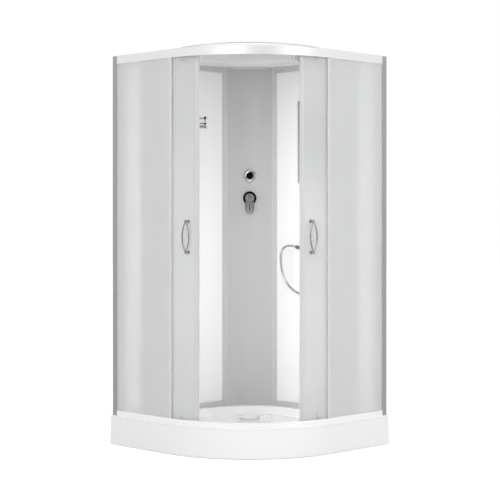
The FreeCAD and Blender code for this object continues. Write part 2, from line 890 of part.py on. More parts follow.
def swapped(points):
    """The same outline on the other side of the diagonal, still running anticlockwise."""
    turned_over = []
    for k in range(len(points) - 1, -1, -1):
        x, y = points[k][:2]
        before = points[k - 1]
        turned_over.append((y, x) + tuple(before[2:]))
    return turned_over


def both_sides(name_left, name_right, points, low, high, holes=()):
    """The same upright extrusion at each end of the front."""
    pair = []
    for name, flip in ((name_left, list), (name_right, swapped)):
        pair.append(plank(name, flip(points), low, high, CABIN, [flip(hole) for hole in holes]))
    return pair


POST_FOOT = d.post_setback - REACH
POST_TOP = POST_FOOT + d.post_width              # where the rails and the glass start
POST_SLOT = POST_TOP - d.glass_slot


def make_posts():
    """Extruded posts with a slot for the fixed glass, one for the wall panel and two chambers."""
    front = d.corner_radius - d.frame_inset
    back = d.corner_radius - FRAME_BACK
    skin = d.rail_wall
    bend = d.post_round
    glass_out = d.corner_radius - d.fixed_glass_inset + d.gasket
    glass_in = d.corner_radius - SLOT_LIP
    panel_low = d.wall_gap - REACH - d.seam
    panel_high = WALL_FACE - REACH + d.seam
    depth = back + d.panel_slot
    points = [
        (back + bend, POST_FOOT), (front - bend, POST_FOOT, bend), (front, POST_FOOT + bend),
        (front, POST_TOP), (glass_out, POST_TOP), (glass_out, POST_SLOT), (glass_in, POST_SLOT),
        (glass_in, POST_TOP), (back + bend, POST_TOP, bend), (back, POST_TOP - bend),
        (back, panel_high), (depth, panel_high), (depth, panel_low), (back, panel_low),
        (back, POST_FOOT + bend, bend)]
    chamber = [(depth + skin, POST_FOOT + skin), (glass_in - skin, POST_FOOT + skin),
               (glass_in - skin, POST_TOP - skin), (depth + skin, POST_TOP - skin)]
    back_chamber = [(back + skin, panel_high + skin), (depth, panel_high + skin),
                    (depth, POST_TOP - skin), (back + skin, POST_TOP - skin)]
    both_sides("left_post", "right_post", points, d.tray_height, FRAME_TOP,
               [chamber, back_chamber])


def make_rails():
    """Top rail with glass slot and roller track; bottom rail with glass slot and guide channel."""
    start = POST_TOP + REACH
    front = d.frame_inset
    face = front + d.rail_face
    skin = d.rail_wall
    bend = d.rail_round
    lip = SLOT_LIP + d.slot_wall
    back = FRAME_BACK
    hang = FRAME_TOP - d.rail_lip
    top_rail = new_body("top_rail")
    swept(top_rail, [
        (front, RAIL_BASE), (face, RAIL_BASE), (face, TRACK_UNDER), (SLOT_LIP, TRACK_UNDER),
        (SLOT_LIP, RAIL_BASE), (lip, RAIL_BASE), (lip, TRACK_UNDER),
        (d.track_edge_inset, TRACK_UNDER), (d.track_edge_inset, TRACK_TOP), (face, TRACK_TOP),
        (face, FRAME_TOP - skin), (back - skin, FRAME_TOP - skin), (back - skin, hang),
        (back, hang), (back, FRAME_TOP), (front + bend, FRAME_TOP, -bend),
        (front, FRAME_TOP - bend)], start)
    foot = d.tray_height
    top = foot + d.bottom_rail_height
    step = foot + d.rail_foot_lip
    guide = top - d.guide_wall_drop
    rail = new_body("bottom_rail")
    swept(rail, [
        (front, foot), (front, top - bend, bend), (front + bend, top), (face, top),
        (face, RAIL_FLOOR), (SLOT_LIP, RAIL_FLOOR), (SLOT_LIP, guide), (lip, guide),
        (lip, RAIL_FLOOR), (back - skin, RAIL_FLOOR), (back - skin, step), (back, step),
        (back, foot)], start)


def make_rail_stoppers():
    """Rubber blocks that stop the rollers of the open doors."""
    past = d.door_stop + d.roller_radius + d.stopper_gap
    near = TRACK_RADIUS - d.roller_width
    far = near + d.stopper_depth
    points = [(near, -past - d.stopper_width), (far, -past - d.stopper_width), (far, -past),
              (near, -past)]
    stops = both_sides("LeftStop", "RightStop", points, TRACK_TOP, TRACK_TOP + d.stopper_height)
    group("rail_stoppers", stops)


def make_fixed_glass():
    """Straight panes in the posts and rails, sealed in the posts and along their free edges."""
    outer = d.corner_radius - d.fixed_glass_inset
    inner = outer - d.glass_thickness
    soft = d.gasket
    thin = soft - d.seam / 3
    both_sides("fixed_glass_left", "fixed_glass_right",
               [(inner, POST_SLOT + soft), (outer, POST_SLOT + soft), (outer, 0), (inner, 0)],
               RAIL_FLOOR, TRACK_UNDER - d.seam)
    post_seal = [(inner - soft, POST_SLOT), (outer + soft, POST_SLOT), (outer + soft, POST_TOP),
                 (outer, POST_TOP), (outer, POST_SLOT + soft), (inner, POST_SLOT + soft),
                 (inner, POST_TOP), (inner - soft, POST_TOP)]
    lap = -d.edge_seal_lap
    nose = d.edge_seal_nose
    edge_seal = [(inner - thin, lap), (inner, lap), (inner, 0), (outer, 0), (outer, lap),
                 (outer + thin, lap), (outer + thin, nose), (inner - thin, nose)]
    foot = d.tray_height + d.bottom_rail_height + 1
    seals = both_sides("PostSealLeft", "PostSealRight", post_seal, RAIL_FLOOR, TRACK_UNDER)
    seals += both_sides("EdgeSealLeft", "EdgeSealRight", edge_seal, foot, RAIL_BASE - 1)
    group("fixed_glass_gaskets", seals)


# ---- rear walls and column -------------------------------------------------------------------

COLUMN_RADIUS = (d.column_half_width * d.column_half_width + d.column_sag * d.column_sag) \
    / (2 * d.column_sag)
COLUMN_BACK = d.column_edge - d.column_sag       # to the middle of the column, from the corner
COLUMN_AXIS = COLUMN_BACK + COLUMN_RADIUS        # centre of the column's curve, from the corner
COLUMN_FRONT = d.column_edge + d.column_profile_front
PROFILE_START = COLUMN_FRONT * ROOT_TWO - WALL_FACE + d.seam    # along a wall, from the corner


def column_point(radius, across):
    """A point on an arc about the column's axis, that far from the symmetry plane."""
    return (across, root(radius * radius - across * across) - COLUMN_AXIS)


def make_rear_walls():
    """Wall panels that run from behind the column into the posts."""
    back = d.corner_radius - FRAME_BACK
    low = LEDGE + d.panel_end_gap
    high = FRAME_TOP - d.panel_end_gap
    start = d.column_edge - d.panel_behind_column - REACH
    end = back + d.panel_slot - d.seam
    step = d.tray_height + d.seam
    points = [(start, low), (back - 1, low), (back - 1, step), (end, step), (end, high),
              (start, high)]
    left = new_body("rear_wall_left")
    sketch = new_sketch(left, "Face", "XZ_Plane", REACH - WALL_FACE)
    outline(sketch, points)
    pad(left, sketch, d.wall_thickness)
    right = new_body("rear_wall_right")
    sketch = new_sketch(right, "Face", "YZ_Plane", d.wall_gap - REACH)
    outline(sketch, points)
    ring(sketch, d.outlet_along - REACH, d.outlet_height, d.hose_radius + 2)
    pad(right, sketch, d.wall_thickness)


def profile_section(base, way):
    """Section of the profile that holds a wall panel, at its foot (way 1) or top (way -1)."""
    skin = d.rail_wall
    slot = d.wall_gap - REACH - d.slot_clearance
    back = slot - skin - d.slot_clearance
    face = WALL_FACE - REACH + d.slot_clearance
    front = face + d.profile_thickness
    bend = d.back_round
    deep = base + way * d.profile_height
    floor = base + way * d.panel_end_gap
    points = [(back, base), (front, base), (front, deep - way * bend, way * bend),
              (front - bend, deep), (face, deep), (face, floor), (slot, floor), (slot, deep),
              (back, deep)]
    low = base + way * 2 * skin
    high = deep - way * 2 * skin
    hollow = [(face + skin, low), (front - skin, low), (front - skin, high), (face + skin, high)]
    return points, hollow


def make_wall_profiles():
    end = d.corner_radius - FRAME_BACK
    start = PROFILE_START - REACH
    for name, base, way in (("wall_bottom_profiles", LEDGE, 1),
                            ("wall_top_profiles", FRAME_TOP, -1)):
        pair = []
        for plane, lift, backwards in (("YZ_Plane", start, False), ("XZ_Plane", -start, True)):
            body = new_body("Profile")
            sketch = new_sketch(body, "Section", plane, lift)
            for points in profile_section(base, way):
                outline(sketch, points)
            pad(body, sketch, end - start, backwards=backwards)
            pair.append(body)
        group(name, pair)


def make_column():
    """Curved column panel held by a corner profile on each side."""
    half = d.column_half_width + d.column_profile_reach
    outer = COLUMN_RADIUS + d.column_thickness / 2
    inner = COLUMN_RADIUS - d.column_thickness / 2
    back_end = column_point(outer, half)
    front_end = column_point(inner, half)
    points = [(-half, back_end[1], -outer), back_end, front_end + (inner,), (-half, front_end[1])]
    body = plank("column_panel", points, LEDGE, FRAME_TOP - d.panel_end_gap, CORNER)
    holes = new_sketch(body, "TapHoles", "XZ_Plane", COLUMN_BACK - d.column_sag)
    for height in (d.mixer_height, DIVERTER_HEIGHT):
        ring(holes, 0, height, d.neck_radius + 1)
    pocket(body, holes, 2 * d.column_sag, backwards=True)
    slack = d.seam
    mouth = d.column_half_width + 1
    deep = half + slack
    front = -COLUMN_FRONT
    wall = COLUMN_FRONT - WALL_FACE * ROOT_TWO
    foot = d.column_half_width + d.column_profile_foot
    foot_back = -(foot + WALL_FACE * ROOT_TWO)
    bend = d.rail_round
    slot_back = column_point(outer + slack, mouth)
    slot_end = column_point(outer + slack, deep)
    slot_front = column_point(inner - slack, deep)
    slot_mouth = column_point(inner - slack, mouth)
    points = [(mouth, foot_back), slot_back + (-(outer + slack),), slot_end,
              slot_front + (inner - slack,), slot_mouth, (mouth, front + bend, bend),
              (mouth + bend, front), (wall - slack, front), (foot - slack, foot_back)]
    right = plank("ColumnProfileRight", points, LEDGE, FRAME_TOP, CORNER)
    left = mirrored("ColumnProfileLeft", right)
    group("column_profiles", [left, right])


# ---- roof ------------------------------------------------------------------------------------

BALL_CENTRE = FRAME_TOP + d.ball_height
BALL_PLACE = ((d.overhead_front - d.overhead_side) / ROOT_TWO,
              (d.overhead_front + d.overhead_side) / ROOT_TWO)
PIPE_LIFT = d.roof_rise - d.ball_height - d.pipe_below_crown    # above the ball centre


def make_roof():
    """Thin flange with a shallow dome, and a boss that carries the overhead shower."""
    skin = d.roof_skin
    apex = FRAME_TOP + d.roof_rise
    edge = d.dome_radius
    knuckle = d.knuckle_radius
    crown = d.crown_radius
    across = edge - knuckle
    reach = crown - knuckle
    rise = root(reach * reach - across * across)
    centre = apex - crown
    knuckle_height = centre + rise
    touch = across * crown / reach
    touch_height = centre + rise * crown / reach
    inner_touch = across * (crown - skin) / reach
    inner_height = centre + rise * (crown - skin) / reach
    flange = edge + 2 * skin
    body = plank("roof", quadrant(d.roof_front_inset, d.roof_wall_inset), FRAME_TOP,
                 FRAME_TOP + skin)
    mouth = new_sketch(body, "DomeMouth", "XY_Plane", FRAME_TOP + skin)
    ring(mouth, 0, 0, edge - skin)
    pocket(body, mouth, 2 * skin)
    turned(body, [(0, apex - skin, skin - crown), (inner_touch, inner_height, skin - knuckle),
                  (edge - skin, knuckle_height), (edge - skin, FRAME_TOP), (flange, FRAME_TOP),
                  (flange, FRAME_TOP + skin), (edge, FRAME_TOP + skin),
                  (edge, knuckle_height, knuckle), (touch, touch_height, crown), (0, apex)])
    boss = new_sketch(body, "Boss", "XY_Plane", BALL_CENTRE + d.boss_lift)
    ring(boss, BALL_PLACE[0], BALL_PLACE[1], d.boss_radius)
    pad(body, boss, d.boss_height)
    holes = new_sketch(body, "PipeHoles", "XY_Plane", apex)
    ring(holes, BALL_PLACE[0], BALL_PLACE[1], d.stem_radius + d.slot_clearance)
    ring(holes, d.pipe_inset - REACH, d.pipe_inset - REACH, d.pipe_radius + 2 * d.seam)
    pocket(body, holes, d.roof_rise + 2 * skin)


# ---- overhead shower -------------------------------------------------------------------------

def overhead_frame(tilt=0):
    """At the centre of the ball joint."""
    place = ARC_CENTRE + FreeCAD.Vector(d.overhead_side.value, -d.overhead_front.value,
                                        BALL_CENTRE.value)
    return FreeCAD.Placement(place, FreeCAD.Rotation(FreeCAD.Vector(1, 0, 0), tilt))


def make_overhead_stem():
    """Ball, neck, lock nuts below and above the boss, and the pipe's elbow block."""
    ball = d.ball_radius
    stem = d.stem_radius
    neck = d.ball_neck_radius
    nut = d.stem_nut_radius
    low = d.boss_lift
    high = low + d.boss_height
    thick = d.stem_nut_height
    throat = root(ball * ball - neck * neck)
    top = PIPE_LIFT + d.pipe_radius + 1
    body = new_body("overhead_stem", overhead_frame())
    turned(body, [(0, -ball, ball), (neck, throat), (neck, low - thick), (nut, low - thick),
                  (nut, low), (stem, low), (stem, high), (nut, high), (nut, high + thick),
                  (stem, high + thick), (stem, top), (0, top)])


def make_overhead_head():
    """Wide flat head whose socket takes the ball."""
    head = new_body("overhead_head", overhead_frame(-d.overhead_tilt.value))
    rim = d.overhead_radius
    edge = d.head_edge
    face = -d.head_drop
    top = face + d.head_rim
    gap = d.ball_radius + 2 * d.axle_clearance
    lip = d.socket_lip
    mouth = root(gap * gap - lip * lip)
    neck = d.socket_radius
    turned(head, [(0, face), (rim - edge, face, edge), (rim, face + edge), (rim, top - edge, edge),
                  (rim - edge, top), (2 * neck, top + 1.5), (neck, -gap), (neck, lip),
                  (mouth, lip, -gap), (0, -gap)])


# ---- mixer and diverter ----------------------------------------------------------------------

PLATE_BACK = -column_point(COLUMN_RADIUS - d.column_thickness / 2, d.plate_radius)[1]
SPINDLE_SEAT = d.plate_depth + d.neck_show


def tap_frame(height):
    """Axis towards the front, local Y up; the origin lies at the back of the cover plate."""
    place = REAR_CORNER + FreeCAD.Vector(0, -PLATE_BACK.value, height.value)
    return FreeCAD.Placement(place, FreeCAD.Rotation(FreeCAD.Vector(1, 0, 0), 90))


def cover_plate(name, height, neck):
    body = new_body(name, tap_frame(height))
    rim = d.plate_radius
    hole = neck + d.seam
    bevel = d.plate_depth / 2
    turned(body, [(hole, 0), (rim, 0), (rim, bevel), (rim - bevel, d.plate_depth),
                  (hole, d.plate_depth)])


def make_mixer_body():
    """Valve body with its neck and spindle, a crossbar with two inlets, and the riser."""
    neck = d.neck_radius
    spindle = d.spindle_radius
    body = d.mixer_body_radius
    tip = SPINDLE_SEAT + d.mixer_spindle
    blank = new_body("mixer_blank", FreeCAD.Placement())
    turned(blank, [(0, -d.tap_body_depth), (body, -d.tap_body_depth), (body, -d.tap_body_gap),
                   (neck, -d.tap_body_gap), (neck, SPINDLE_SEAT), (spindle, SPINDLE_SEAT),
                   (spindle, tip), (0, tip)])
    side = d.inlet_spacing / 2
    end = side + d.crossbar_radius
    middle = -d.crossbar_depth
    lean = math.radians(d.inlet_tilt.value)
    heading = (0, -math.cos(lean), -math.sin(lean))
    pieces = [
        blank,
        rod("Crossbar", d.crossbar_radius, 2 * end, (-end, 0, middle), (1, 0, 0)),
        rod("Riser", d.riser_radius, d.diverter_rise - d.riser_socket_length, (0, 0, middle),
            (0, 1, 0))]
    for across in (-side, side):
        pieces += [
            rod("Collar", d.inlet_radius + 2, d.inlet_collar, (across, 0, middle), heading),
            rod("Inlet", d.inlet_radius, d.inlet_length, (across, 0, middle), heading)]
    fused("mixer_body", pieces, tap_frame(d.mixer_height))


def make_mixer_swivel():
    """Ball-shaped cap that turns on the spindle and carries the lever's two pins."""
    ball = d.lever_ball_radius
    centre = d.lever_ball_lift
    foot = SPINDLE_SEAT + d.seam
    bore = d.spindle_radius + d.axle_clearance
    room = SPINDLE_SEAT + d.mixer_spindle + d.seam
    wide = root(ball * ball - (centre - foot) * (centre - foot))
    swivel = new_body("mixer_swivel", tap_frame(d.mixer_height))
    turned(swivel, [(bore, foot), (wide, foot, ball), (0, centre + ball), (0, room), (bore, room)])
    pins = new_sketch(swivel, "Pins", "YZ_Plane")
    ring(pins, 0, centre, d.lever_pin_radius)
    pad(swivel, pins, 2 * (ball + d.lever_shell), midplane=True)


def make_mixer_lever():
    """Domed cap with a wide paddle, hinged on the swivel's pins."""
    centre = d.lever_ball_lift
    inner = d.lever_ball_radius + d.seam
    outer = inner + d.lever_shell
    edge = -d.lever_skirt
    inner_rim = root(inner * inner - edge * edge)
    outer_rim = root(outer * outer - edge * edge)
    lever = new_body("mixer_lever", tap_frame(d.mixer_height))
    turned(lever, [(inner_rim, centre + edge), (outer_rim, centre + edge, outer),
                   (0, centre + outer), (0, centre + inner, -inner)])
    half = d.lever_width / 2
    drop = d.lever_drop
    root_line = -d.lever_root
    low = centre + d.paddle_lift
    paddle = new_sketch(lever, "Paddle", "XY_Plane", low)
    outline(paddle, [(half, half - drop), (half, root_line), (-half, root_line),
                     (-half, half - drop, half), (0, -drop, half)])
    pad(lever, paddle, d.paddle_thickness)
    slot = d.groove_width / 2
    groove = new_sketch(lever, "Groove", "XY_Plane", low + d.paddle_thickness)
    outline(groove, [(slot, d.lever_root - drop), (slot, 2 * root_line),
                     (-slot, 2 * root_line), (-slot, d.lever_root - drop)])
    pocket(lever, groove, d.groove_depth)
    base = d.lever_ball_radius / 2
    turned(lever, [(0, centre - base), (root(inner * inner - base * base), centre - base, inner),
                   (0, centre + inner)], cut=True)
    bores = new_sketch(lever, "PinBores", "YZ_Plane")
    ring(bores, 0, centre, d.lever_pin_radius + d.axle_clearance)
    pocket(lever, bores, 2 * d.lever_width, midplane=True)


def make_diverter():
    """Diverter valve above the mixer, with its knob."""
    body = d.neck_radius
    neck = d.diverter_neck_radius
    spindle = d.spindle_radius
    tip = SPINDLE_SEAT + d.diverter_spindle
    blank = new_body("diverter_blank", FreeCAD.Placement())
    turned(blank, [(0, -d.tap_body_depth), (body, -d.tap_body_depth), (body, -d.tap_body_gap),
                   (neck, -d.tap_body_gap), (neck, SPINDLE_SEAT), (spindle, SPINDLE_SEAT),
                   (spindle, tip), (0, tip)])
    socket = rod("RiserSocket", d.riser_socket_radius, d.riser_socket_length,
                 (0, 0, -d.crossbar_depth), (0, -1, 0))
    fused("diverter_body", [blank, socket], tap_frame(DIVERTER_HEIGHT))
    knob = new_body("diverter_knob", tap_frame(DIVERTER_HEIGHT))
    foot = SPINDLE_SEAT + d.seam
    bore = spindle + d.axle_clearance
    rim = d.knob_radius
    bevel = d.knob_bevel
    face = foot + d.knob_depth
    room = tip + d.seam
    turned(knob, [(bore, foot), (rim - bevel, foot), (rim, foot + bevel), (rim, face - bevel),
                  (rim - bevel, face), (bore, face - 1), (0, face - 1), (0, room), (bore, room)])
    mark = new_sketch(knob, "Mark", "XY_Plane", face + 1)
    half = d.groove_width / 2
    outline(mark, [(-half, rim / 2), (half, rim / 2), (half, rim + 1), (-half, rim + 1)])
    pocket(knob, mark, d.groove_depth + 1)


# ---- pipes, hose outlet, hose and handset ----------------------------------------------------

def wall_point(along, depth, height):
    """A point by the right wall: distance from the corner, from the wall's face, height."""
    return (value(WALL_FACE - REACH + depth), value(along) - REACH.value, value(height))


def diagonal_point(back, across, height):
    """A point by its distance from the corner and from the symmetry plane, in the cabin frame."""
    x = (back - across) / ROOT_TWO - REACH.value
    y = (back + across) / ROOT_TWO - REACH.value
    return (x, y, height)


def make_pipes():
    """Supply to the overhead shower over the roof, and to the hose outlet behind the wall."""
    radius = d.pipe_radius.value
    bend = d.pipe_bend.value
    high = BALL_CENTRE.value + PIPE_LIFT.value
    tap = DIVERTER_HEIGHT.value
    inset = d.pipe_inset.value - REACH.value
    start = FreeCAD.Vector(BALL_PLACE[0].value, BALL_PLACE[1].value, high)
    corner = FreeCAD.Vector(inset, inset, high)
    start = start + (corner - start).normalize() * d.stem_radius.value
    back = (PLATE_BACK - d.tap_body_depth).value
    roof_pipe = tube_along([tuple(start), tuple(corner), (inset, inset, tap),
                            diagonal_point(back, 0, tap)], [bend, bend / 2], radius)
    behind = d.wall_gap.value / 2 - REACH.value
    first = diagonal_point((PLATE_BACK - d.crossbar_depth).value, d.neck_radius.value, tap)
    turn = first[1] + first[0] - behind
    down = turn + 2 * bend
    level = d.outlet_height.value
    out = wall_point(d.outlet_along, -d.wall_thickness.value - 1, level)
    wall_pipe = tube_along([first, (behind, turn, tap), (behind, down, tap),
                            (behind, down, level), (behind, out[1], level), out],
                           [bend, bend / 2, bend / 2, radius + 1], radius)
    group("feed_pipes", [add_shape("RoofPipe", roof_pipe), add_shape("WallPipe", wall_pipe)])


def outlet_frame():
    """Axis from the right wall into the cabin, local X along the wall, local Y up."""
    turn = FreeCAD.Rotation(FreeCAD.Vector(0, 1, 0), FreeCAD.Vector(0, 0, 1),
                            FreeCAD.Vector(1, 0, 0), "ZXY")
    place = FreeCAD.Vector(*wall_point(d.outlet_along, 0, d.outlet_height))
    return CABIN.multiply(FreeCAD.Placement(place, turn))


def make_outlet():
    """Wall outlet with a ball elbow, and the hose's nut on its nozzle."""
    flange = d.outlet_flange_radius
    neck = d.outlet_ball_radius - 1
    thick = d.outlet_flange
    reach = d.outlet_reach
    inlet = d.hose_radius
    blank = new_body("outlet_blank", FreeCAD.Placement())
    turned(blank, [(0, 1 - d.wall_thickness), (inlet, 1 - d.wall_thickness), (inlet, 0),
                   (flange, 0), (flange, thick / 2), (flange - thick / 2, thick), (neck, thick),
                   (neck, reach), (0, reach)])
    rise = math.radians(d.outlet_rise.value)
    swing = math.radians(d.outlet_swing.value)
    heading = (-math.sin(swing) * math.cos(rise), math.sin(rise), math.cos(swing) * math.cos(rise))
    ball = doc.addObject("Part::Sphere", "OutletBall")
    bind(ball, "Radius", d.outlet_ball_radius)
    ball.Placement.Base = FreeCAD.Vector(0, 0, reach.value)
    nozzle = rod("Nozzle", d.hose_nut_radius - 1, d.outlet_ball_radius, (0, 0, reach), heading)
    start = FreeCAD.Vector(*heading) * d.outlet_ball_radius.value
    start = start + FreeCAD.Vector(0, 0, reach.value)
    nut = rod("HoseNut", d.hose_nut_radius, d.hose_nut_length, tuple(start), heading)
    spout = fused("outlet_spout", [blank, ball, nozzle], outlet_frame())
    nut.Placement = outlet_frame().multiply(nut.Placement)
    group("hose_outlet", [spout, nut])


# The hose hangs as a loop: along the wall, from the wall's face, height.
HOSE = [
    (415.5, 51.1, 999.8), (400, 77.9, 1008.1), (385, 103.9, 997.2), (375.8, 119.8, 971),
    (373, 118, 926), (376, 113, 872), (394, 107, 820), (428, 101, 780), (472, 96, 756),
    (524, 92, 744), (582, 88, 741), (636, 85, 762), (682, 81, 812), (706, 77, 886),
    (720, 72, 984), (727, 64, 1110), (730, 54, 1260), (732, 42, 1400), (731.5, 28, 1475),
    (731, 18.5, 1545), (730, 17.2, 1601.3), (730, 28.76, 1644.39)]
BEND_SHARE = 0.45                                # of the shorter run beside a bend


def make_hose():
    points = [FreeCAD.Vector(*wall_point(*spot)) for spot in HOSE]
    bends = []
    for before, here, after in zip(points, points[1:], points[2:]):
        turn = (here - before).getAngle(after - here)
        shorter = min((here - before).Length, (after - here).Length)
        bends.append(BEND_SHARE * shorter / math.tan(turn / 2))
    radius = d.hose_radius.value
    hose = tube_along([tuple(point) for point in points], bends, radius)
    length = hose.Volume / (math.pi * radius ** 2)
    print(f"hose length {length:.0f} mm")
    print(f"smallest bend radius {min(bends):.0f} mm")
    add_shape("shower_hose", hose)


def holder_frame(tilt=0):
    """At the pivot of the handset holder: Z up the handset, X out of the wall."""
    place = FreeCAD.Vector(*wall_point(d.holder_along, d.holder_reach, d.holder_height))
    turn = FreeCAD.Rotation(FreeCAD.Vector(0, 1, 0), value(tilt))
    return CABIN.multiply(FreeCAD.Placement(place, turn))


def make_handset_bracket():
    """Foot on the wall and a fork with two stub pins."""
    reach = d.holder_reach
    foot = d.bracket_foot
    half = d.bracket_height / 2
    inside = d.clip_ear + d.seam
    outside = inside + d.fork_thickness
    wide = d.bracket_width / 2
    tall = d.bracket_foot_height / 2
    bracket = new_body("bracket_blank", FreeCAD.Placement())
    for name, start, length, across, up in (
            ("Foot", 0, foot, wide, tall), ("Bridge", foot, d.bracket_bridge, outside, half)):
        sketch = new_sketch(bracket, name, "YZ_Plane", size(start) - reach)
        outline(sketch, [(-across, -up), (across, -up), (across, up), (-across, up)])
        pad(bracket, sketch, length)
    for side in (-1, 1):
        cheek = new_sketch(bracket, "Cheek", "XZ_Plane", side * inside)
        outline(cheek, [(foot - reach, -half), (0, -half, half), (half, 0, half), (0, half),
                        (foot - reach, half)])
        pad(bracket, cheek, d.fork_thickness, backwards=side < 0)
    pins = [rod("HolderPin", d.holder_pin_radius, d.pin_reach + d.fork_thickness,
                (0, side * outside, 0), (0, -side, 0)) for side in (-1, 1)]
    fused("handset_bracket", [bracket] + pins, holder_frame())


def make_handset_clip():
    """Ring that grips the handset, with an ear on each side for the pins."""
    inner = d.clip_radius
    outer = inner + d.clip_wall
    clip = new_body("handset_clip", holder_frame(d.handset_tilt))
    turned(clip, [(inner, -d.clip_below), (outer, -d.clip_below), (outer, d.clip_above),
                  (inner, d.clip_above)])
    ears = new_sketch(clip, "Ears", "XZ_Plane")
    ring(ears, 0, 0, 2 * d.holder_pin_radius + 1)
    pad(clip, ears, 2 * d.clip_ear, midplane=True)
    inside = new_sketch(clip, "Inside", "XY_Plane", outer)
    ring(inside, 0, 0, inner)
    pocket(clip, inside, 2 * outer)
    bores = new_sketch(clip, "PinBores", "XZ_Plane")
    ring(bores, 0, 0, d.holder_pin_radius + d.axle_clearance)
    pocket(clip, bores, 3 * d.clip_ear, midplane=True)


def make_handset():
    """Tapered handle with its hose cone, and a round spray head."""
    grip = d.clip_radius - d.seam
    nut = d.hose_nut_radius
    foot = -d.handset_tail
    neck = d.handset_neck_radius
    top = d.handset_rise
    handle = new_body("HandsetHandle", FreeCAD.Placement())
    turned(handle, [(0, foot), (nut - 3, foot), (nut, foot + 1.5), (nut, foot + d.hose_nut_length),
                    (nut + 1.5, foot + d.hose_nut_length + 3), (grip, -d.clip_below - 2),
                    (grip, d.clip_above + 2), (neck, top / 2), (neck, top), (0, top)])
    rim = d.handset_radius
    deep = d.handset_depth
    bevel = d.handset_bevel
    head = new_body("HandsetHead", FreeCAD.Placement())
    turned(head, [(0, 0), (rim - bevel, 0), (rim, bevel), (rim, 2 * bevel), (rim / 2, deep),
                  (0, deep + 4)])
    centre = FreeCAD.Vector(d.handset_face.value, 0, (top + rim / 2).value)
    head.Placement = FreeCAD.Placement(centre, FreeCAD.Rotation(FreeCAD.Vector(0, 1, 0), -90))
    fused("handset", [handle, head], holder_frame(d.handset_tilt))


# ---- mirror and shelf ------------------------------------------------------------------------

def make_mirror():
    """Mirror on the right wall, held by four clips."""
    face = WALL_FACE - REACH
    start = d.mirror_along - REACH
    end = start + d.mirror_width
    low = d.mirror_bottom
    high = low + d.mirror_height
    deep = d.mirror_thickness
    mirror = new_body("mirror")
    sketch = new_sketch(mirror, "Glass", "YZ_Plane", face)
    outline(sketch, [(start, low), (end, low), (end, high), (start, high)])
    pad(mirror, sketch, deep)
    clips = []
    half = d.clip_length / 2
    for along in (start + d.clip_inset, end - d.clip_inset):
        for height, way in ((low, 1), (high, -1)):
            clip = new_body("Clip")
            section = new_sketch(clip, "Section", "XZ_Plane", -along - half)
            hook = height + way * d.clip_hook
            foot = height - way * d.clip_hook
            front = face + deep + 2
            outline(section, [(face, foot), (front, foot), (front, hook), (face + deep, hook),
                              (face + deep, height), (face, height)])
            pad(clip, section, d.clip_length)
            clips.append(clip)
    group("mirror_clips", clips)


def make_shelf():
    """Glass shelf on the left wall with two arms and two rails."""
    face = WALL_FACE - REACH
    start = d.shelf_along - REACH
    end = start + d.shelf_width
    reach = d.shelf_reach
    level = d.shelf_height
    arm = d.shelf_arm_radius
    post = d.shelf_post_radius
    lines = (start + d.shelf_arm_inset, end - d.shelf_arm_inset)
    arms = []
    for along in lines:
        spot = (along, face, level - arm)
        arms += [rod("Arm", arm, reach + arm, spot, (0, 1, 0)),
                 rod("Flange", d.shelf_flange_radius, arm, spot, (0, 1, 0)),
                 rod("Post", post, d.shelf_post_height, (along, face + reach, level - arm))]
    fused("shelf_brackets", arms, CABIN)
    plate = new_body("shelf_glass")
    sketch = new_sketch(plate, "Plate", "XY_Plane", level)
    back = face + arm + d.seam
    front = face + reach - arm
    outline(sketch, [(start, back), (end, back), (end, front), (start, front)])
    pad(plate, sketch, d.shelf_glass_thickness)
    rails = [rod("Rail", d.shelf_rail_radius, lines[1] - lines[0] - 2 * post,
                 (lines[0] + post, face + reach, level + lift), (1, 0, 0))
             for lift in (d.shelf_low_rail, d.shelf_high_rail)]
    fused("shelf_rails", rails, CABIN)


# ---- doors -----------------------------------------------------------------------------------

HALF_FRONT = 45.0                                # the arc ends this many degrees from the middle


def arc_spot(radius, angle):
    """A point on a circle about the arc centre; the angle runs from the middle of the front."""
    return (radius * sine(angle), -(radius * cosine(angle)))


def sector(inner, outer, start, end):
    """Outline of a piece of a ring between two angles."""
    return [arc_spot(inner, start), arc_spot(outer, start) + (outer,), arc_spot(outer, end),
            arc_spot(inner, end) + (-inner,)]


def on_track(angle, straight=0.0):
    """A roller's place on the track, by its angle and the distance past the end of the arc."""
    turn = math.radians(angle)
    radius = TRACK_RADIUS.value
    return (radius * math.sin(turn) + straight * math.cos(turn),
            -radius * math.cos(turn) + straight * math.sin(turn))


def door_swing():
    """Pole and angle of the turn that takes both rollers of a shut door to their open places."""
    lead_shut = on_track(d.lead_roller.value)
    trail_shut = on_track(d.trail_roller.value)
    trail_open = on_track(HALF_FRONT, d.door_stop.value)
    chord = math.dist(lead_shut, trail_shut)
    low = 0.0
    high = HALF_FRONT
    for _ in range(60):
        lead_angle = (low + high) / 2
        if math.dist(on_track(lead_angle), trail_open) > chord:
            low = lead_angle
        else:
            high = lead_angle
    lead_open = on_track(lead_angle)
    headings = [math.atan2(trail[1] - lead[1], trail[0] - lead[0])
                for lead, trail in ((lead_shut, trail_shut), (lead_open, trail_open))]
    swing = headings[1] - headings[0]
    lift = 1 / (2 * math.tan(swing / 2))
    across = (lead_open[0] - lead_shut[0], lead_open[1] - lead_shut[1])
    pole = FreeCAD.Vector((lead_shut[0] + lead_open[0]) / 2 - across[1] * lift,
                          (lead_shut[1] + lead_open[1]) / 2 + across[0] * lift, 0)
    return pole, math.degrees(swing)


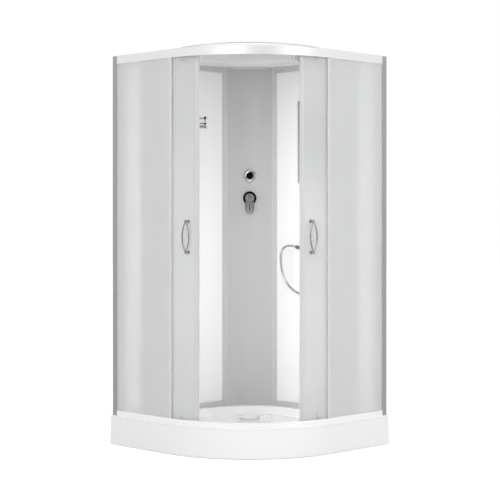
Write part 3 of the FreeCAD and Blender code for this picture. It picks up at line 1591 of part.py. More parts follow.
POLE, SWING = door_swing()
DOOR_OPEN = ARC.multiply(FreeCAD.Placement(FreeCAD.Vector(), FreeCAD.Rotation(UP, SWING), POLE))
CARRIERS = (("lead", d.lead_roller), ("trail", d.trail_roller))
HANDLE_MIDDLE = d.tray_height + d.handle_height
HANDLE_HALF = d.handle_length / 2 - d.handle_foot_radius
ROLLER_HEIGHT = TRACK_TOP + d.roller_radius + d.seam
GUIDE_HEIGHT = RAIL_FLOOR + d.guide_radius + d.seam
HANGER_SCREW = DOOR_TOP - d.hanger_screw_drop
GUIDE_SCREW = DOOR_FOOT + d.guide_screw_lift
DOOR_START = Size(math.degrees(math.asin((d.door_edge_gap / GLASS_OUT).value)),
                  f"asin(({d.door_edge_gap.formula}) / ({GLASS_OUT.formula})) / 1 deg")
DOOR_END = HALF_FRONT + d.door_lap


def at_angle(angle, radius=0, height=0):
    """Placement at a spot on the door: X outwards, Y along the door, Z up."""
    turn = math.radians(value(angle))
    out = FreeCAD.Vector(math.sin(turn), -math.cos(turn), 0)
    return FreeCAD.Placement(out * value(radius) + UP * value(height),
                             FreeCAD.Rotation(UP, value(angle) - 90))


def radial(name, radius, angle, start, end, height):
    """A rod that points out of the door at an angle, from one distance to another."""
    piece = rod(name, radius, size(end) - start, (start, 0, height), (1, 0, 0))
    piece.Placement = at_angle(angle).multiply(piece.Placement)
    return piece


def make_door_glass():
    blank = plank("door_glass_blank", sector(GLASS_IN, GLASS_OUT, DOOR_START, DOOR_END),
                  DOOR_FOOT, DOOR_TOP, FreeCAD.Placement())
    spots = [(angle, height) for _, angle in CARRIERS for height in (HANGER_SCREW, GUIDE_SCREW)]
    spots += [(d.handle_angle, HANDLE_MIDDLE + side * HANDLE_HALF) for side in (-1, 1)]
    hole = d.screw_radius + d.seam
    holes = [radial("ScrewHole", hole, angle, GLASS_IN - hole, GLASS_OUT + hole, height)
             for angle, height in spots]
    glass = drilled("door_glass_right", blank, holes, DOOR_OPEN)
    mirrored("door_glass_left", glass)


def make_door_seals():
    """Magnetic strip on the leading edge and a seal with a fin on the trailing edge."""
    cheek = (d.strip_thickness - d.glass_thickness) / 2
    out = GLASS_OUT + cheek
    inside = GLASS_IN - cheek
    edge = d.slot_clearance
    strip = plank("LeadStrip", [(edge, -out), (d.strip_width, -out), (d.strip_width, -inside),
                                (edge, -inside)], DOOR_FOOT, DOOR_TOP, DOOR_OPEN)
    slot = new_sketch(strip, "Slot", "XY_Plane", DOOR_TOP)
    outline(slot, sector(GLASS_IN, GLASS_OUT, DOOR_START, d.handle_angle))
    pocket(strip, slot, DOOR_TOP - DOOR_FOOT)
    lap = DOOR_END - d.trail_seal_lap
    nose = DOOR_END + d.trail_seal_nose
    soft = d.trail_seal
    fin = GLASS_OUT + d.trail_fin
    points = [arc_spot(GLASS_IN - soft, lap), arc_spot(GLASS_IN, lap) + (GLASS_IN,),
              arc_spot(GLASS_IN, DOOR_END), arc_spot(GLASS_OUT, DOOR_END) + (-GLASS_OUT,),
              arc_spot(GLASS_OUT, lap), arc_spot(GLASS_OUT + soft, lap),
              arc_spot(fin, DOOR_END - 2.5 * d.trail_seal_nose),
              arc_spot(fin + soft / 2, DOOR_END - 2 * d.trail_seal_nose),
              arc_spot(GLASS_OUT + soft, nose), arc_spot(GLASS_IN - soft, nose)]
    tail = plank("TrailSeal", points, DOOR_FOOT + d.trail_seal_foot_gap,
                 DOOR_TOP - d.trail_seal_top_gap, DOOR_OPEN)
    mirrored("door_seals_left", group("door_seals_right", [strip, tail]))


def make_door_handle():
    """Two bowed bars that meet at an upper and a lower foot, screwed through the glass."""
    bar = d.handle_bar / 2
    bow = (d.handle_width - d.handle_bar) / 2
    tall = HANDLE_HALF + d.handle_foot_radius / 4
    radius = (bow * bow + tall * tall) / (2 * bow)
    half = math.degrees(math.asin(tall.value / radius.value))
    facing = FreeCAD.Rotation(FreeCAD.Vector(0, 1, 0), FreeCAD.Vector(0, 0, 1),
                              FreeCAD.Vector(1, 0, 0), "ZXY")
    spot = at_angle(d.handle_angle, GLASS_OUT, HANDLE_MIDDLE)
    inside = GLASS_IN - d.handle_washer
    pieces = []
    for side, start in ((-1, 180 - half), (1, -half)):
        bowed = doc.addObject("Part::Torus", "Bar")
        bind(bowed, "Radius1", radius)
        bind(bowed, "Radius2", bar)
        bowed.Angle3 = 2 * half
        centre = FreeCAD.Vector((d.handle_reach - bar).value, -side * (radius - bow).value, 0)
        turn = facing.multiply(FreeCAD.Rotation(UP, start))
        bowed.Placement = spot.multiply(FreeCAD.Placement(centre, turn))
        pieces.append(bowed)
        height = HANDLE_MIDDLE + side * HANDLE_HALF
        for name, thick, first, last in (
                ("Foot", d.handle_foot_radius, GLASS_OUT,
                 GLASS_OUT + d.handle_reach - d.handle_foot_sink),
                ("Screw", d.screw_radius, inside, GLASS_OUT + 2),
                ("Washer", d.handle_washer_radius, inside, GLASS_IN - d.curve_gap)):
            pieces.append(radial(name, thick, d.handle_angle, first, last, height))
    mirrored("door_handle_left", fused("door_handle_right", pieces, DOOR_OPEN))


def make_hanger(angle):
    """Clamp on the glass, arm under the rail, neck up to the axle, and the roller's axle."""
    wide = d.hanger_width
    thick = d.hanger_thickness
    neck = d.corner_radius - d.hanger_inset
    foot = DOOR_TOP - d.hanger_drop
    clamp = GLASS_IN - d.hanger_clamp
    end = TRACK_RADIUS + d.roller_width / 2
    screw = d.screw_radius
    pieces = [
        block("Clamp", (d.hanger_clamp - d.curve_gap, wide, d.hanger_clamp_height),
              (clamp, -wide / 2, foot)),
        block("Arm", (clamp - neck + 2 * thick, wide, d.hanger_arm), (neck - thick, -wide / 2, foot)),
        block("Neck", (thick, wide, ROLLER_HEIGHT + d.hanger_above_axle - foot),
              (neck - thick, -wide / 2, foot)),
        rod("Axle", d.axle_radius, end + d.axle_head - neck + 1, (neck - 1, 0, ROLLER_HEIGHT),
            (1, 0, 0)),
        rod("Shoulder", d.shoulder_radius, end - d.roller_width - d.wheel_gap - neck + 1,
            (neck - 1, 0, ROLLER_HEIGHT), (1, 0, 0)),
        rod("AxleHead", d.axle_head_radius, d.axle_head, (end + d.wheel_gap, 0, ROLLER_HEIGHT),
            (1, 0, 0)),
        rod("Screw", screw, GLASS_OUT - clamp, (clamp + 1, 0, HANGER_SCREW), (1, 0, 0)),
        rod("Cap", d.cap_radius, d.cap_height, (GLASS_OUT, 0, HANGER_SCREW), (1, 0, 0))]
    return fused("Hanger", pieces, DOOR_OPEN.multiply(at_angle(angle)))


def make_guide_bracket(angle):
    """Clamp on the glass and a tongue into the bottom rail that carries the guide wheel."""
    wide = d.hanger_width
    thick = d.hanger_thickness
    clamp = GLASS_IN - d.hanger_clamp
    tongue = TRACK_RADIUS + d.roller_width / 2 + 1
    near = TRACK_RADIUS - d.roller_width / 2 - d.wheel_gap
    foot = GUIDE_SCREW - d.hanger_clamp_height / 2
    pieces = [
        block("Clamp", (d.hanger_clamp - d.curve_gap, wide, d.hanger_clamp_height),
              (clamp, -wide / 2, foot)),
        block("Tongue", (thick, wide, foot + d.hanger_arm - DOOR_FOOT + d.tongue_below_glass),
              (tongue, -wide / 2, DOOR_FOOT - d.tongue_below_glass)),
        rod("Axle", d.axle_radius, tongue + 2 - near, (near, 0, GUIDE_HEIGHT), (1, 0, 0)),
        rod("AxleHead", d.axle_head_radius, d.axle_head, (near - d.axle_head, 0, GUIDE_HEIGHT),
            (1, 0, 0)),
        rod("Screw", d.screw_radius, GLASS_OUT - clamp, (clamp + 1, 0, GUIDE_SCREW), (1, 0, 0)),
        rod("Cap", d.cap_radius, d.cap_height, (GLASS_OUT, 0, GUIDE_SCREW), (1, 0, 0))]
    return fused("GuideBracket", pieces, DOOR_OPEN.multiply(at_angle(angle)))


def make_carriers():
    carriers = []
    for _, angle in CARRIERS:
        carriers += [make_hanger(angle), make_guide_bracket(angle)]
    mirrored("door_carriers_left", group("door_carriers_right", carriers))


def make_wheels():
    """Upper rollers and guide wheels, each on its own axle."""
    upright = FreeCAD.Placement(FreeCAD.Vector(),
                                FreeCAD.Rotation(FreeCAD.Vector(0, 1, 0), 90))
    half = d.roller_width / 2
    bore = d.axle_radius + d.axle_clearance
    bevel = d.wheel_bevel
    for name, angle in CARRIERS:
        for kind, radius, height in (("roller", d.roller_radius, ROLLER_HEIGHT),
                                     ("guide", d.guide_radius, GUIDE_HEIGHT)):
            spot = DOOR_OPEN.multiply(at_angle(angle, TRACK_RADIUS, height))
            wheel = new_body(f"{kind}_right_{name}", spot.multiply(upright))
            turned(wheel, [(bore, -half), (radius - bevel, -half), (radius, bevel - half),
                           (radius, half - bevel), (radius - bevel, half), (bore, half)])
            mirrored(f"{kind}_left_{name}", wheel)


# ---- building, checking and writing ----------------------------------------------------------

def write_parts():
    doc.recompute()
    for thing in doc.Objects:
        if "Invalid" in thing.State or "Error" in thing.State:
            raise RuntimeError(f"{thing.Label} did not build: {thing.State}")
    for node in NODES:
        if node.Shape.isNull() or not node.Shape.isValid():
            raise RuntimeError(f"{node.Label} has no valid shape")
    os.makedirs("parts", exist_ok=True)
    for node in NODES:
        node.Shape.exportStep(f"parts/{node.Label}.step")


make_tray()
make_apron()
make_tray_frame()
make_feet()
make_waste_body()
make_waste_trap()
make_waste_cover()
make_posts()
make_rails()
make_rail_stoppers()
make_fixed_glass()
make_rear_walls()
make_wall_profiles()
make_column()
make_roof()
make_overhead_stem()
make_overhead_head()
cover_plate("mixer_plate", d.mixer_height, d.neck_radius)
make_mixer_body()
make_mixer_swivel()
make_mixer_lever()
cover_plate("diverter_plate", DIVERTER_HEIGHT, d.diverter_neck_radius)
make_diverter()
make_pipes()
make_outlet()
make_hose()
make_handset_bracket()
make_handset_clip()
make_handset()
make_mirror()
make_shelf()
make_door_glass()
make_door_seals()
make_door_handle()
make_carriers()
make_wheels()
write_parts()
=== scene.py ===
import bpy
import bmesh
import json
import math
from mathutils import Matrix, Vector

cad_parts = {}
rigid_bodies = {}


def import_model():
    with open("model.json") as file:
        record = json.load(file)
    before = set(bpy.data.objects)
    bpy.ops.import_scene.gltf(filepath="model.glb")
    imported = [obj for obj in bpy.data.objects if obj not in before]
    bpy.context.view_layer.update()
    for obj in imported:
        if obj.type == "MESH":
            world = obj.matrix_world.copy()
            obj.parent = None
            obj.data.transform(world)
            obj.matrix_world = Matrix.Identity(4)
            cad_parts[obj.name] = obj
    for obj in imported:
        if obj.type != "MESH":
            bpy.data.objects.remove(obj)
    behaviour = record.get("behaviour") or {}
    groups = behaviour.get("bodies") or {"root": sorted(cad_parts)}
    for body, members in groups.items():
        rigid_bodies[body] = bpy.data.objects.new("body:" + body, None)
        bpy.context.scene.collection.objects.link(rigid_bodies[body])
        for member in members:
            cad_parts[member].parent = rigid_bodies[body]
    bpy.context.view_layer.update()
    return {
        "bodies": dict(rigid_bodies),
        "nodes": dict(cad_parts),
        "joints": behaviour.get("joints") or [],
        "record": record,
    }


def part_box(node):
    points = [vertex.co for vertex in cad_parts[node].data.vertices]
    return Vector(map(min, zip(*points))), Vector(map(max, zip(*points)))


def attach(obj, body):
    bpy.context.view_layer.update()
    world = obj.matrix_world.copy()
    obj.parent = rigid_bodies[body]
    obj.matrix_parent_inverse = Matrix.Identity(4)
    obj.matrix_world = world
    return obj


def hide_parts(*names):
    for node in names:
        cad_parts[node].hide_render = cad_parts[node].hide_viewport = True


# A quadrant shower cabin: white tray with an apron, satin aluminium rails and posts, frosted
# sliding doors, a grey rear column with mixer and diverter, and white walls and roof.
# Metres; the front is at -Y, up is +Z.

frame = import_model()

ARC_CENTRE = Vector((0, -0.0416980, 0))
REAR_CORNER = Vector((0, 0.5946980, 0))
WALL_EDGE = 0.450                        # from the arc centre to a wall edge of the tray
WALL_FACE = 0.020                        # face of the rear walls, from the wall edge
DIAGONAL = math.sqrt(0.5)
UP = Vector((0, 0, 1))
MIRROR = Matrix.Scale(-1, 4, (1, 0, 0))


# ---- camera, light and background ------------------------------------------------------------

CAMERA_DISTANCE = 7.968                  # from the rear corner, along the diagonal
CAMERA_HEIGHT = 1.134
CAMERA_LENS = 102.67                     # mm, on a sensor 36 mm wide
CAMERA_SHIFT = (0.0007, -0.0571)         # shares of the sensor's width


def add_camera():
    data = bpy.data.cameras.new("camera")
    data.sensor_width = 36
    data.lens = CAMERA_LENS
    data.shift_x, data.shift_y = CAMERA_SHIFT
    data.clip_end = 60
    camera = bpy.data.objects.new("camera", data)
    camera.location = (0, REAR_CORNER.y - CAMERA_DISTANCE, CAMERA_HEIGHT)
    camera.rotation_euler = (math.radians(90), 0, 0)
    bpy.context.collection.objects.link(camera)
    bpy.context.scene.camera = camera


def add_softbox(name, place, aim, wide, tall, power, hidden=False):
    """A lit rectangle; a hidden one lights surfaces without showing in glass or chrome."""
    data = bpy.data.lights.new(name, "AREA")
    data.shape = "RECTANGLE"
    data.size = wide
    data.size_y = tall
    data.energy = power
    lamp = bpy.data.objects.new(name, data)
    lamp.location = place
    lamp.rotation_euler = (Vector(aim) - Vector(place)).to_track_quat("-Z", "Y").to_euler()
    if hidden:
        lamp.visible_camera = False
        lamp.visible_glossy = False
        lamp.visible_transmission = False
    bpy.context.collection.objects.link(lamp)


def add_lamps():
    middle = (0, 0, 1.0)
    add_softbox("front_softbox", (-1.6, -5.2, 2.8), middle, wide=2.6, tall=2.6, power=70)
    add_softbox("side_softbox", (3.6, -3.4, 2.2), middle, wide=2.0, tall=2.6, power=38)
    add_softbox("top_softbox", (0, -0.4, 4.6), (0, 0, 0), wide=3.0, tall=3.0, power=24)
    add_softbox("doorway_softbox", (0, -0.42, 1.0), (0, 0.4, 1.0), wide=0.42, tall=1.6,
                power=5.4, hidden=True)


SIDE_WALLS = (0.34, 0.62)                # |x| of a heading, where the mirrored walls begin
MIRRORED_LEVELS = (0.03, 1.0)            # ahead and behind, and on both sides
WORLD_LIGHT = 0.8


def add_world():
    """White to the eye, even light for surfaces, and contrast for chrome."""
    world = bpy.data.worlds.new("studio")
    world.use_nodes = True
    tree = world.node_tree
    tree.nodes.clear()
    output = tree.nodes.new("ShaderNodeOutputWorld")

    def wall(strength):
        backdrop = tree.nodes.new("ShaderNodeBackground")
        backdrop.inputs["Color"].default_value = (1, 1, 1, 1)
        backdrop.inputs["Strength"].default_value = strength
        return backdrop

    def chosen(switch, first, second):
        mix = tree.nodes.new("ShaderNodeMixShader")
        tree.links.new(switch, mix.inputs["Fac"])
        tree.links.new(first.outputs[0], mix.inputs[1])
        tree.links.new(second.outputs[0], mix.inputs[2])
        return mix

    # Chrome shows a studio that is dark ahead and white on both sides.
    mirrored = wall(1.0)
    heading = tree.nodes.new("ShaderNodeTexCoord")
    parts = tree.nodes.new("ShaderNodeSeparateXYZ")
    sideways = tree.nodes.new("ShaderNodeMath")
    sideways.operation = "ABSOLUTE"
    level = tree.nodes.new("ShaderNodeMapRange")
    level.interpolation_type = "SMOOTHSTEP"
    level.inputs["From Min"].default_value, level.inputs["From Max"].default_value = SIDE_WALLS
    level.inputs["To Min"].default_value, level.inputs["To Max"].default_value = MIRRORED_LEVELS
    tree.links.new(heading.outputs["Generated"], parts.inputs[0])
    tree.links.new(parts.outputs["X"], sideways.inputs[0])
    tree.links.new(sideways.outputs[0], level.inputs["Value"])
    tree.links.new(level.outputs[0], mirrored.inputs["Strength"])
    path = tree.nodes.new("ShaderNodeLightPath")
    plain = chosen(path.outputs["Is Camera Ray"], wall(WORLD_LIGHT), wall(1.0))
    through = chosen(path.outputs["Is Transmission Ray"], plain, wall(1.0))
    whole = chosen(path.outputs["Is Glossy Ray"], through, mirrored)
    tree.links.new(whole.outputs[0], output.inputs[0])
    bpy.context.scene.world = world
    bpy.context.scene.view_settings.view_transform = "Standard"


FLOOR_SIDE = 60
FLOOR_COLOUR = (0.8, 0.8, 0.8, 1)
FLOOR_LIFT = 0.5                         # light added for the eye alone


def add_floor():
    """A pale floor that shows as white and keeps the cabin's soft shadow."""
    bpy.ops.object.select_all(action="DESELECT")
    bpy.ops.mesh.primitive_plane_add(size=FLOOR_SIDE, location=(0, 0, -0.0005))
    floor = bpy.context.object
    floor.name = "studio_floor"
    material = bpy.data.materials.new("studio_floor")
    material.use_nodes = True
    tree = material.node_tree
    shader = tree.nodes["Principled BSDF"]
    shader.inputs["Base Color"].default_value = FLOOR_COLOUR
    shader.inputs["Roughness"].default_value = 0.9
    shader.inputs["Specular IOR Level"].default_value = 0.1
    path = tree.nodes.new("ShaderNodeLightPath")
    lift = tree.nodes.new("ShaderNodeMath")
    lift.operation = "MULTIPLY"
    lift.inputs[1].default_value = FLOOR_LIFT
    tree.links.new(path.outputs["Is Camera Ray"], lift.inputs[0])
    shader.inputs["Emission Color"].default_value = (1, 1, 1, 1)
    tree.links.new(lift.outputs[0], shader.inputs["Emission Strength"])
    floor.data.materials.append(material)


# ---- finishes --------------------------------------------------------------------------------

class Finish:
    """A procedural material on Object coordinates."""

    def __init__(self, name, colour, roughness, metal=0.0):
        self.material = bpy.data.materials.new(name)
        self.material.use_nodes = True
        self.tree = self.material.node_tree
        self.shader = self.tree.nodes["Principled BSDF"]
        self.place = self.tree.nodes.new("ShaderNodeTexCoord").outputs["Object"]
        self.set("Base Color", (*colour, 1))
        self.set("Roughness", roughness)
        self.set("Metallic", metal)
        self.colour = colour

    def set(self, socket, number):
        self.shader.inputs[socket].default_value = number

    def node(self, kind, **numbers):
        made = self.tree.nodes.new(kind)
        for socket, number in numbers.items():
            made.inputs[socket.replace("_", " ")].default_value = number
        return made

    def link(self, start, end):
        self.tree.links.new(start, end)

    def noise(self, scale, detail=3.0, stretch=(1, 1, 1)):
        """Noise at a scale in cycles per metre, stretched along an axis."""
        mapping = self.node("ShaderNodeMapping")
        mapping.inputs["Scale"].default_value = stretch
        self.link(self.place, mapping.inputs["Vector"])
        texture = self.node("ShaderNodeTexNoise", Scale=scale, Detail=detail)
        self.link(mapping.outputs[0], texture.inputs["Vector"])
        return texture.outputs[0]

    def between(self, source, low, high, start=0.3, end=0.7):
        """Maps a texture's values to a range of numbers."""
        spread = self.tree.nodes.new("ShaderNodeMapRange")
        spread.inputs["From Min"].default_value = start
        spread.inputs["From Max"].default_value = end
        spread.inputs["To Min"].default_value = low
        spread.inputs["To Max"].default_value = high
        self.link(source, spread.inputs["Value"])
        return spread.outputs[0]

    def tint(self, source, low, high, start=0.3, end=0.7):
        """Shades the colour between two levels by a texture."""
        ramp = self.tree.nodes.new("ShaderNodeMix")
        ramp.data_type = "RGBA"
        ramp.inputs["A"].default_value = (*[channel * low for channel in self.colour], 1)
        ramp.inputs["B"].default_value = (*[channel * high for channel in self.colour], 1)
        self.link(self.between(source, 0, 1, start, end), ramp.inputs["Factor"])
        self.link(ramp.outputs["Result"], self.shader.inputs["Base Color"])

    def rough(self, source, low, high):
        self.link(self.between(source, low, high), self.shader.inputs["Roughness"])

    def bump(self, source, height, strength=1.0):
        bump = self.node("ShaderNodeBump", Strength=strength, Distance=height)
        self.link(source, bump.inputs["Height"])
        self.link(bump.outputs[0], self.shader.inputs["Normal"])


def sanitary_acrylic(name, level):
    finish = Finish(name, (level, level, level), 0.16)
    finish.tint(finish.noise(2.2), 0.985, 1.0)
    finish.rough(finish.noise(38), 0.12, 0.2)
    finish.bump(finish.noise(9, 2), 0.0006, 0.25)
    finish.set("Coat Weight", 0.35)
    finish.set("Coat Roughness", 0.06)
    return finish


def satin_aluminium(name, level, stretch, metal=0.75):
    finish = Finish(name, (level, level, level * 1.005), 0.34, metal)
    grain = finish.noise(420, 2, stretch)
    finish.tint(grain, 0.95, 1.03)
    finish.rough(grain, 0.3, 0.42)
    finish.bump(grain, 0.00006, 0.2)
    return finish


def polished_chrome(name, level):
    finish = Finish(name, (level, level * 1.005, level * 1.01), 0.05, 1.0)
    finish.rough(finish.noise(60), 0.035, 0.08)
    finish.tint(finish.noise(14), 0.97, 1.0)
    return finish


def wound_steel_hose(name):
    finish = Finish(name, (0.7, 0.71, 0.72), 0.2, 1.0)
    finish.rough(finish.noise(160), 0.14, 0.28)
    finish.tint(finish.noise(50), 0.9, 1.03)
    return finish


def frosted_glass(name, level):
    finish = Finish(name, (level, level * 1.005, level * 1.01), 0.5)
    grain = finish.noise(900, 2)
    finish.tint(finish.noise(5), 0.98, 1.0)
    finish.bump(grain, 0.00004, 0.15)
    finish.rough(grain, 0.46, 0.56)
    finish.set("Transmission Weight", 0.5)
    finish.set("IOR", 1.25)
    return finish


def clear_glass(name):
    finish = Finish(name, (0.9, 0.95, 0.93), 0.03)
    finish.rough(finish.noise(30), 0.01, 0.05)
    finish.set("Transmission Weight", 0.92)
    finish.set("IOR", 1.45)
    return finish


def moulded_plastic(name, colour, roughness=0.45):
    finish = Finish(name, colour, roughness)
    finish.tint(finish.noise(40), 0.95, 1.02)
    finish.bump(finish.noise(700, 2), 0.00008, 0.3)
    return finish


def wall_panel(name, level):
    finish = Finish(name, (level, level, level), 0.34)
    finish.tint(finish.noise(1.2), 0.985, 1.0)
    finish.rough(finish.noise(4), 0.32, 0.36)
    finish.bump(finish.noise(1500, 1), 0.00002, 0.15)
    return finish


def silvered_mirror(name):
    finish = Finish(name, (0.5, 0.52, 0.52), 0.03, 1.0)
    finish.rough(finish.noise(18), 0.02, 0.05)
    return finish


def cast_brass(name):
    finish = Finish(name, (0.62, 0.47, 0.22), 0.4, 1.0)
    finish.tint(finish.noise(120), 0.85, 1.05)
    finish.bump(finish.noise(260, 3), 0.0002, 0.4)
    return finish


def rubber(name, level):
    finish = Finish(name, (level, level, level), 0.7)
    finish.tint(finish.noise(90), 0.85, 1.1)
    finish.bump(finish.noise(900, 2), 0.0001, 0.3)
    return finish


UPRIGHT = (1, 1, 0.01)                   # stretches the grain of drawn metal upwards
FLAT = (0.2, 0.2, 1)                     # and sideways
EVEN = (1, 1, 1)

acrylic = sanitary_acrylic("white_tray_acrylic", 0.86)
# The roof's white acrylic is set darker than the tray's, at 0.78: painted shade on the roof.
roof_acrylic_painted_shade = sanitary_acrylic("white_roof_painted_shade_acrylic", 0.78)
# The posts' satin aluminium is set far darker than the rails', at 0.36: painted shade on the posts.
post_metal_painted_shade = satin_aluminium("satin_post_aluminium_painted_shade", 0.36, UPRIGHT, 0.4)
rail_metal = satin_aluminium("satin_rail_aluminium", 0.78, FLAT, 0.25)
profile_metal = satin_aluminium("satin_profile_aluminium", 0.6, UPRIGHT, 0.3)
# The bottom rail's satin aluminium is set lighter than the top rail's, at 0.93: painted light on the
# bottom rail.
lower_rail_metal_painted_light = satin_aluminium("satin_lower_rail_aluminium_painted_light", 0.93, FLAT, 0.2)
chrome = polished_chrome("polished_chrome", 0.76)
# The handles, the mixer lever, the shelf rails and the hose outlet have the chrome darkened to 0.34:
# a painted dim reflection.
chrome_painted_dim_reflection = polished_chrome("chrome_painted_dim_reflection", 0.34)
# The mixer plate and ball, the diverter knob and the shelf's joint balls have the chrome darkened to
# 0.12: a painted dark reflection.
chrome_painted_dark_reflection = polished_chrome("chrome_painted_dark_reflection", 0.12)
wound_steel = wound_steel_hose("wound_hose_steel")
fixed_frost = frosted_glass("frosted_fixed_glass", 0.92)
door_frost = frosted_glass("frosted_door_glass", 0.81)
clear_seal = frosted_glass("clear_door_seal_plastic", 0.93)
clear = clear_glass("clear_shelf_glass")
gasket_plastic = moulded_plastic("grey_gasket_plastic", (0.68, 0.69, 0.7), 0.5)
carrier_plastic = moulded_plastic("carrier_plastic", (0.7, 0.71, 0.72), 0.4)
white_nylon = moulded_plastic("white_nylon", (0.86, 0.86, 0.84), 0.4)
spray_grey = moulded_plastic("grey_spray_plate", (0.5, 0.51, 0.52), 0.35)
trap_plastic = moulded_plastic("white_waste_plastic", (0.8, 0.8, 0.79), 0.4)
pipe_plastic = moulded_plastic("supply_pipe_plastic", (0.75, 0.76, 0.78), 0.4)
black_plastic = moulded_plastic("black_foot_plastic", (0.03, 0.03, 0.03), 0.5)
white_wall = wall_panel("white_wall_panel", 0.88)
column_grey = wall_panel("grey_column_panel", 0.5)
mirror_silver = silvered_mirror("silvered_mirror")
brass = cast_brass("cast_brass")
frame_steel = satin_aluminium("zinc_frame_steel", 0.36, EVEN)
stud_steel = satin_aluminium("zinc_plated_steel", 0.55, EVEN)
black_rubber = rubber("black_rubber", 0.03)
nozzle_rubber = rubber("grey_nozzle_rubber", 0.3)

FINISHES = {
    "tray": acrylic, "tray_apron": acrylic, "tray_frame": frame_steel, "foot_studs": stud_steel,
    "foot_pads": black_plastic, "waste_body": trap_plastic, "waste_trap": trap_plastic,
    "waste_cover": chrome, "left_post": post_metal_painted_shade, "right_post": post_metal_painted_shade,
    "top_rail": rail_metal, "bottom_rail": lower_rail_metal_painted_light, "rail_stoppers": black_rubber,
    "fixed_glass_left": fixed_frost, "fixed_glass_right": fixed_frost,
    "fixed_glass_gaskets": gasket_plastic,
    "rear_wall_left": white_wall, "rear_wall_right": white_wall,
    "wall_top_profiles": profile_metal, "wall_bottom_profiles": profile_metal,
    "column_panel": column_grey, "column_profiles": profile_metal, "roof": roof_acrylic_painted_shade,
    "overhead_stem": chrome, "overhead_head": chrome, "feed_pipes": pipe_plastic,
    "mirror": mirror_silver, "mirror_clips": chrome, "shelf_glass": clear,
    "shelf_brackets": chrome, "shelf_rails": chrome_painted_dim_reflection, "hose_outlet": chrome,
    "shower_hose": chrome, "handset_bracket": chrome, "handset_clip": chrome, "handset": chrome,
    "mixer_body": brass, "mixer_plate": chrome, "mixer_swivel": chrome, "mixer_lever": chrome,
    "diverter_body": brass, "diverter_plate": chrome, "diverter_knob": chrome}
for side in ("left", "right"):
    FINISHES[f"door_glass_{side}"] = door_frost
    FINISHES[f"door_seals_{side}"] = clear_seal
    FINISHES[f"door_handle_{side}"] = chrome_painted_dim_reflection
    FINISHES[f"door_carriers_{side}"] = carrier_plastic
    for wheel in ("roller", "guide"):
        for place in ("lead", "trail"):
            FINISHES[f"{wheel}_{side}_{place}"] = white_nylon


def dress_nodes():
    for name, node in frame["nodes"].items():
        finish = FINISHES[name].material
        if not node.data.materials:
            node.data.materials.append(finish)
        for slot in node.material_slots:
            slot.material = finish


# ---- modelling -------------------------------------------------------------------------------

def lay_down():
    """Leaves edit mode with nothing selected."""
    if bpy.context.object and bpy.context.object.mode != "OBJECT":
        bpy.ops.object.mode_set(mode="OBJECT")
    bpy.ops.object.select_all(action="DESELECT")


def take_up(piece):
    lay_down()
    piece.select_set(True)
    bpy.context.view_layer.objects.active = piece


def pick(piece, faces=None, edges=None):
    """Selects, in edit mode, the faces or edges that a test accepts."""
    take_up(piece)
    mesh = piece.data
    for items in (mesh.vertices, mesh.edges, mesh.polygons):
        for item in items:
            item.select = False
    bpy.context.tool_settings.mesh_select_mode = (False, bool(edges), bool(faces))
    if faces:
        for face in mesh.polygons:
            face.select = faces(face.center, face.normal)
    if edges:
        for edge in mesh.edges:
            edge.select = edges(*[mesh.vertices[end].co for end in edge.vertices])
    bpy.ops.object.mode_set(mode="EDIT")


def outwards(piece):
    """Merges doubles and turns every face outwards."""
    take_up(piece)
    bpy.ops.object.mode_set(mode="EDIT")
    bpy.ops.mesh.select_all(action="SELECT")
    bpy.ops.mesh.remove_doubles(threshold=0.000001)
    bpy.ops.mesh.normals_make_consistent(inside=False)
    bpy.ops.object.mode_set(mode="OBJECT")


def finished(piece, name, frame, finish, crease=32):
    """Puts a shaped piece at its place, smooths it and gives it its finish."""
    outwards(piece)
    piece.name = name
    piece.matrix_world = frame
    bpy.ops.object.transform_apply(location=True, rotation=True, scale=True)
    bpy.ops.object.shade_smooth_by_angle(angle=math.radians(crease))
    piece.data.materials.clear()
    piece.data.materials.append(finish.material)
    return piece


def applied(piece, modifier):
    take_up(piece)
    bpy.ops.object.modifier_apply(modifier=modifier.name)
    return piece


def rounded(piece, width, segments=3, crease=30):
    """Rounds every edge that is sharper than an angle."""
    bevel = piece.modifiers.new("rounded_edges", "BEVEL")
    bevel.width = width
    bevel.segments = segments
    bevel.limit_method = "ANGLE"
    bevel.angle_limit = math.radians(crease)
    return applied(piece, bevel)


def combined(piece, other, operation):
    """Joins another solid to a piece, or cuts it out."""
    mix = piece.modifiers.new("combined", "BOOLEAN")
    mix.operation = operation
    mix.object = other
    applied(piece, mix)
    bpy.data.objects.remove(other)
    return piece


def joined(pieces, name):
    lay_down()
    for piece in pieces:
        piece.select_set(True)
    bpy.context.view_layer.objects.active = pieces[0]
    if len(pieces) > 1:
        bpy.ops.object.join()
    pieces[0].name = name
    return pieces[0]


def copied(piece, name, frame):
    """A copy of a finished piece at another place, with its own mesh."""
    copy = piece.copy()
    copy.data = piece.data.copy()
    copy.name = name
    copy.data.transform(frame)
    bpy.context.collection.objects.link(copy)
    if frame.determinant() < 0:
        outwards(copy)
    return copy


def repeated(piece, name, frames):
    """Copies of one piece at many places, joined into one object."""
    copies = [copied(piece, name, frame) for frame in frames]
    bpy.data.objects.remove(piece)
    return joined(copies, name)


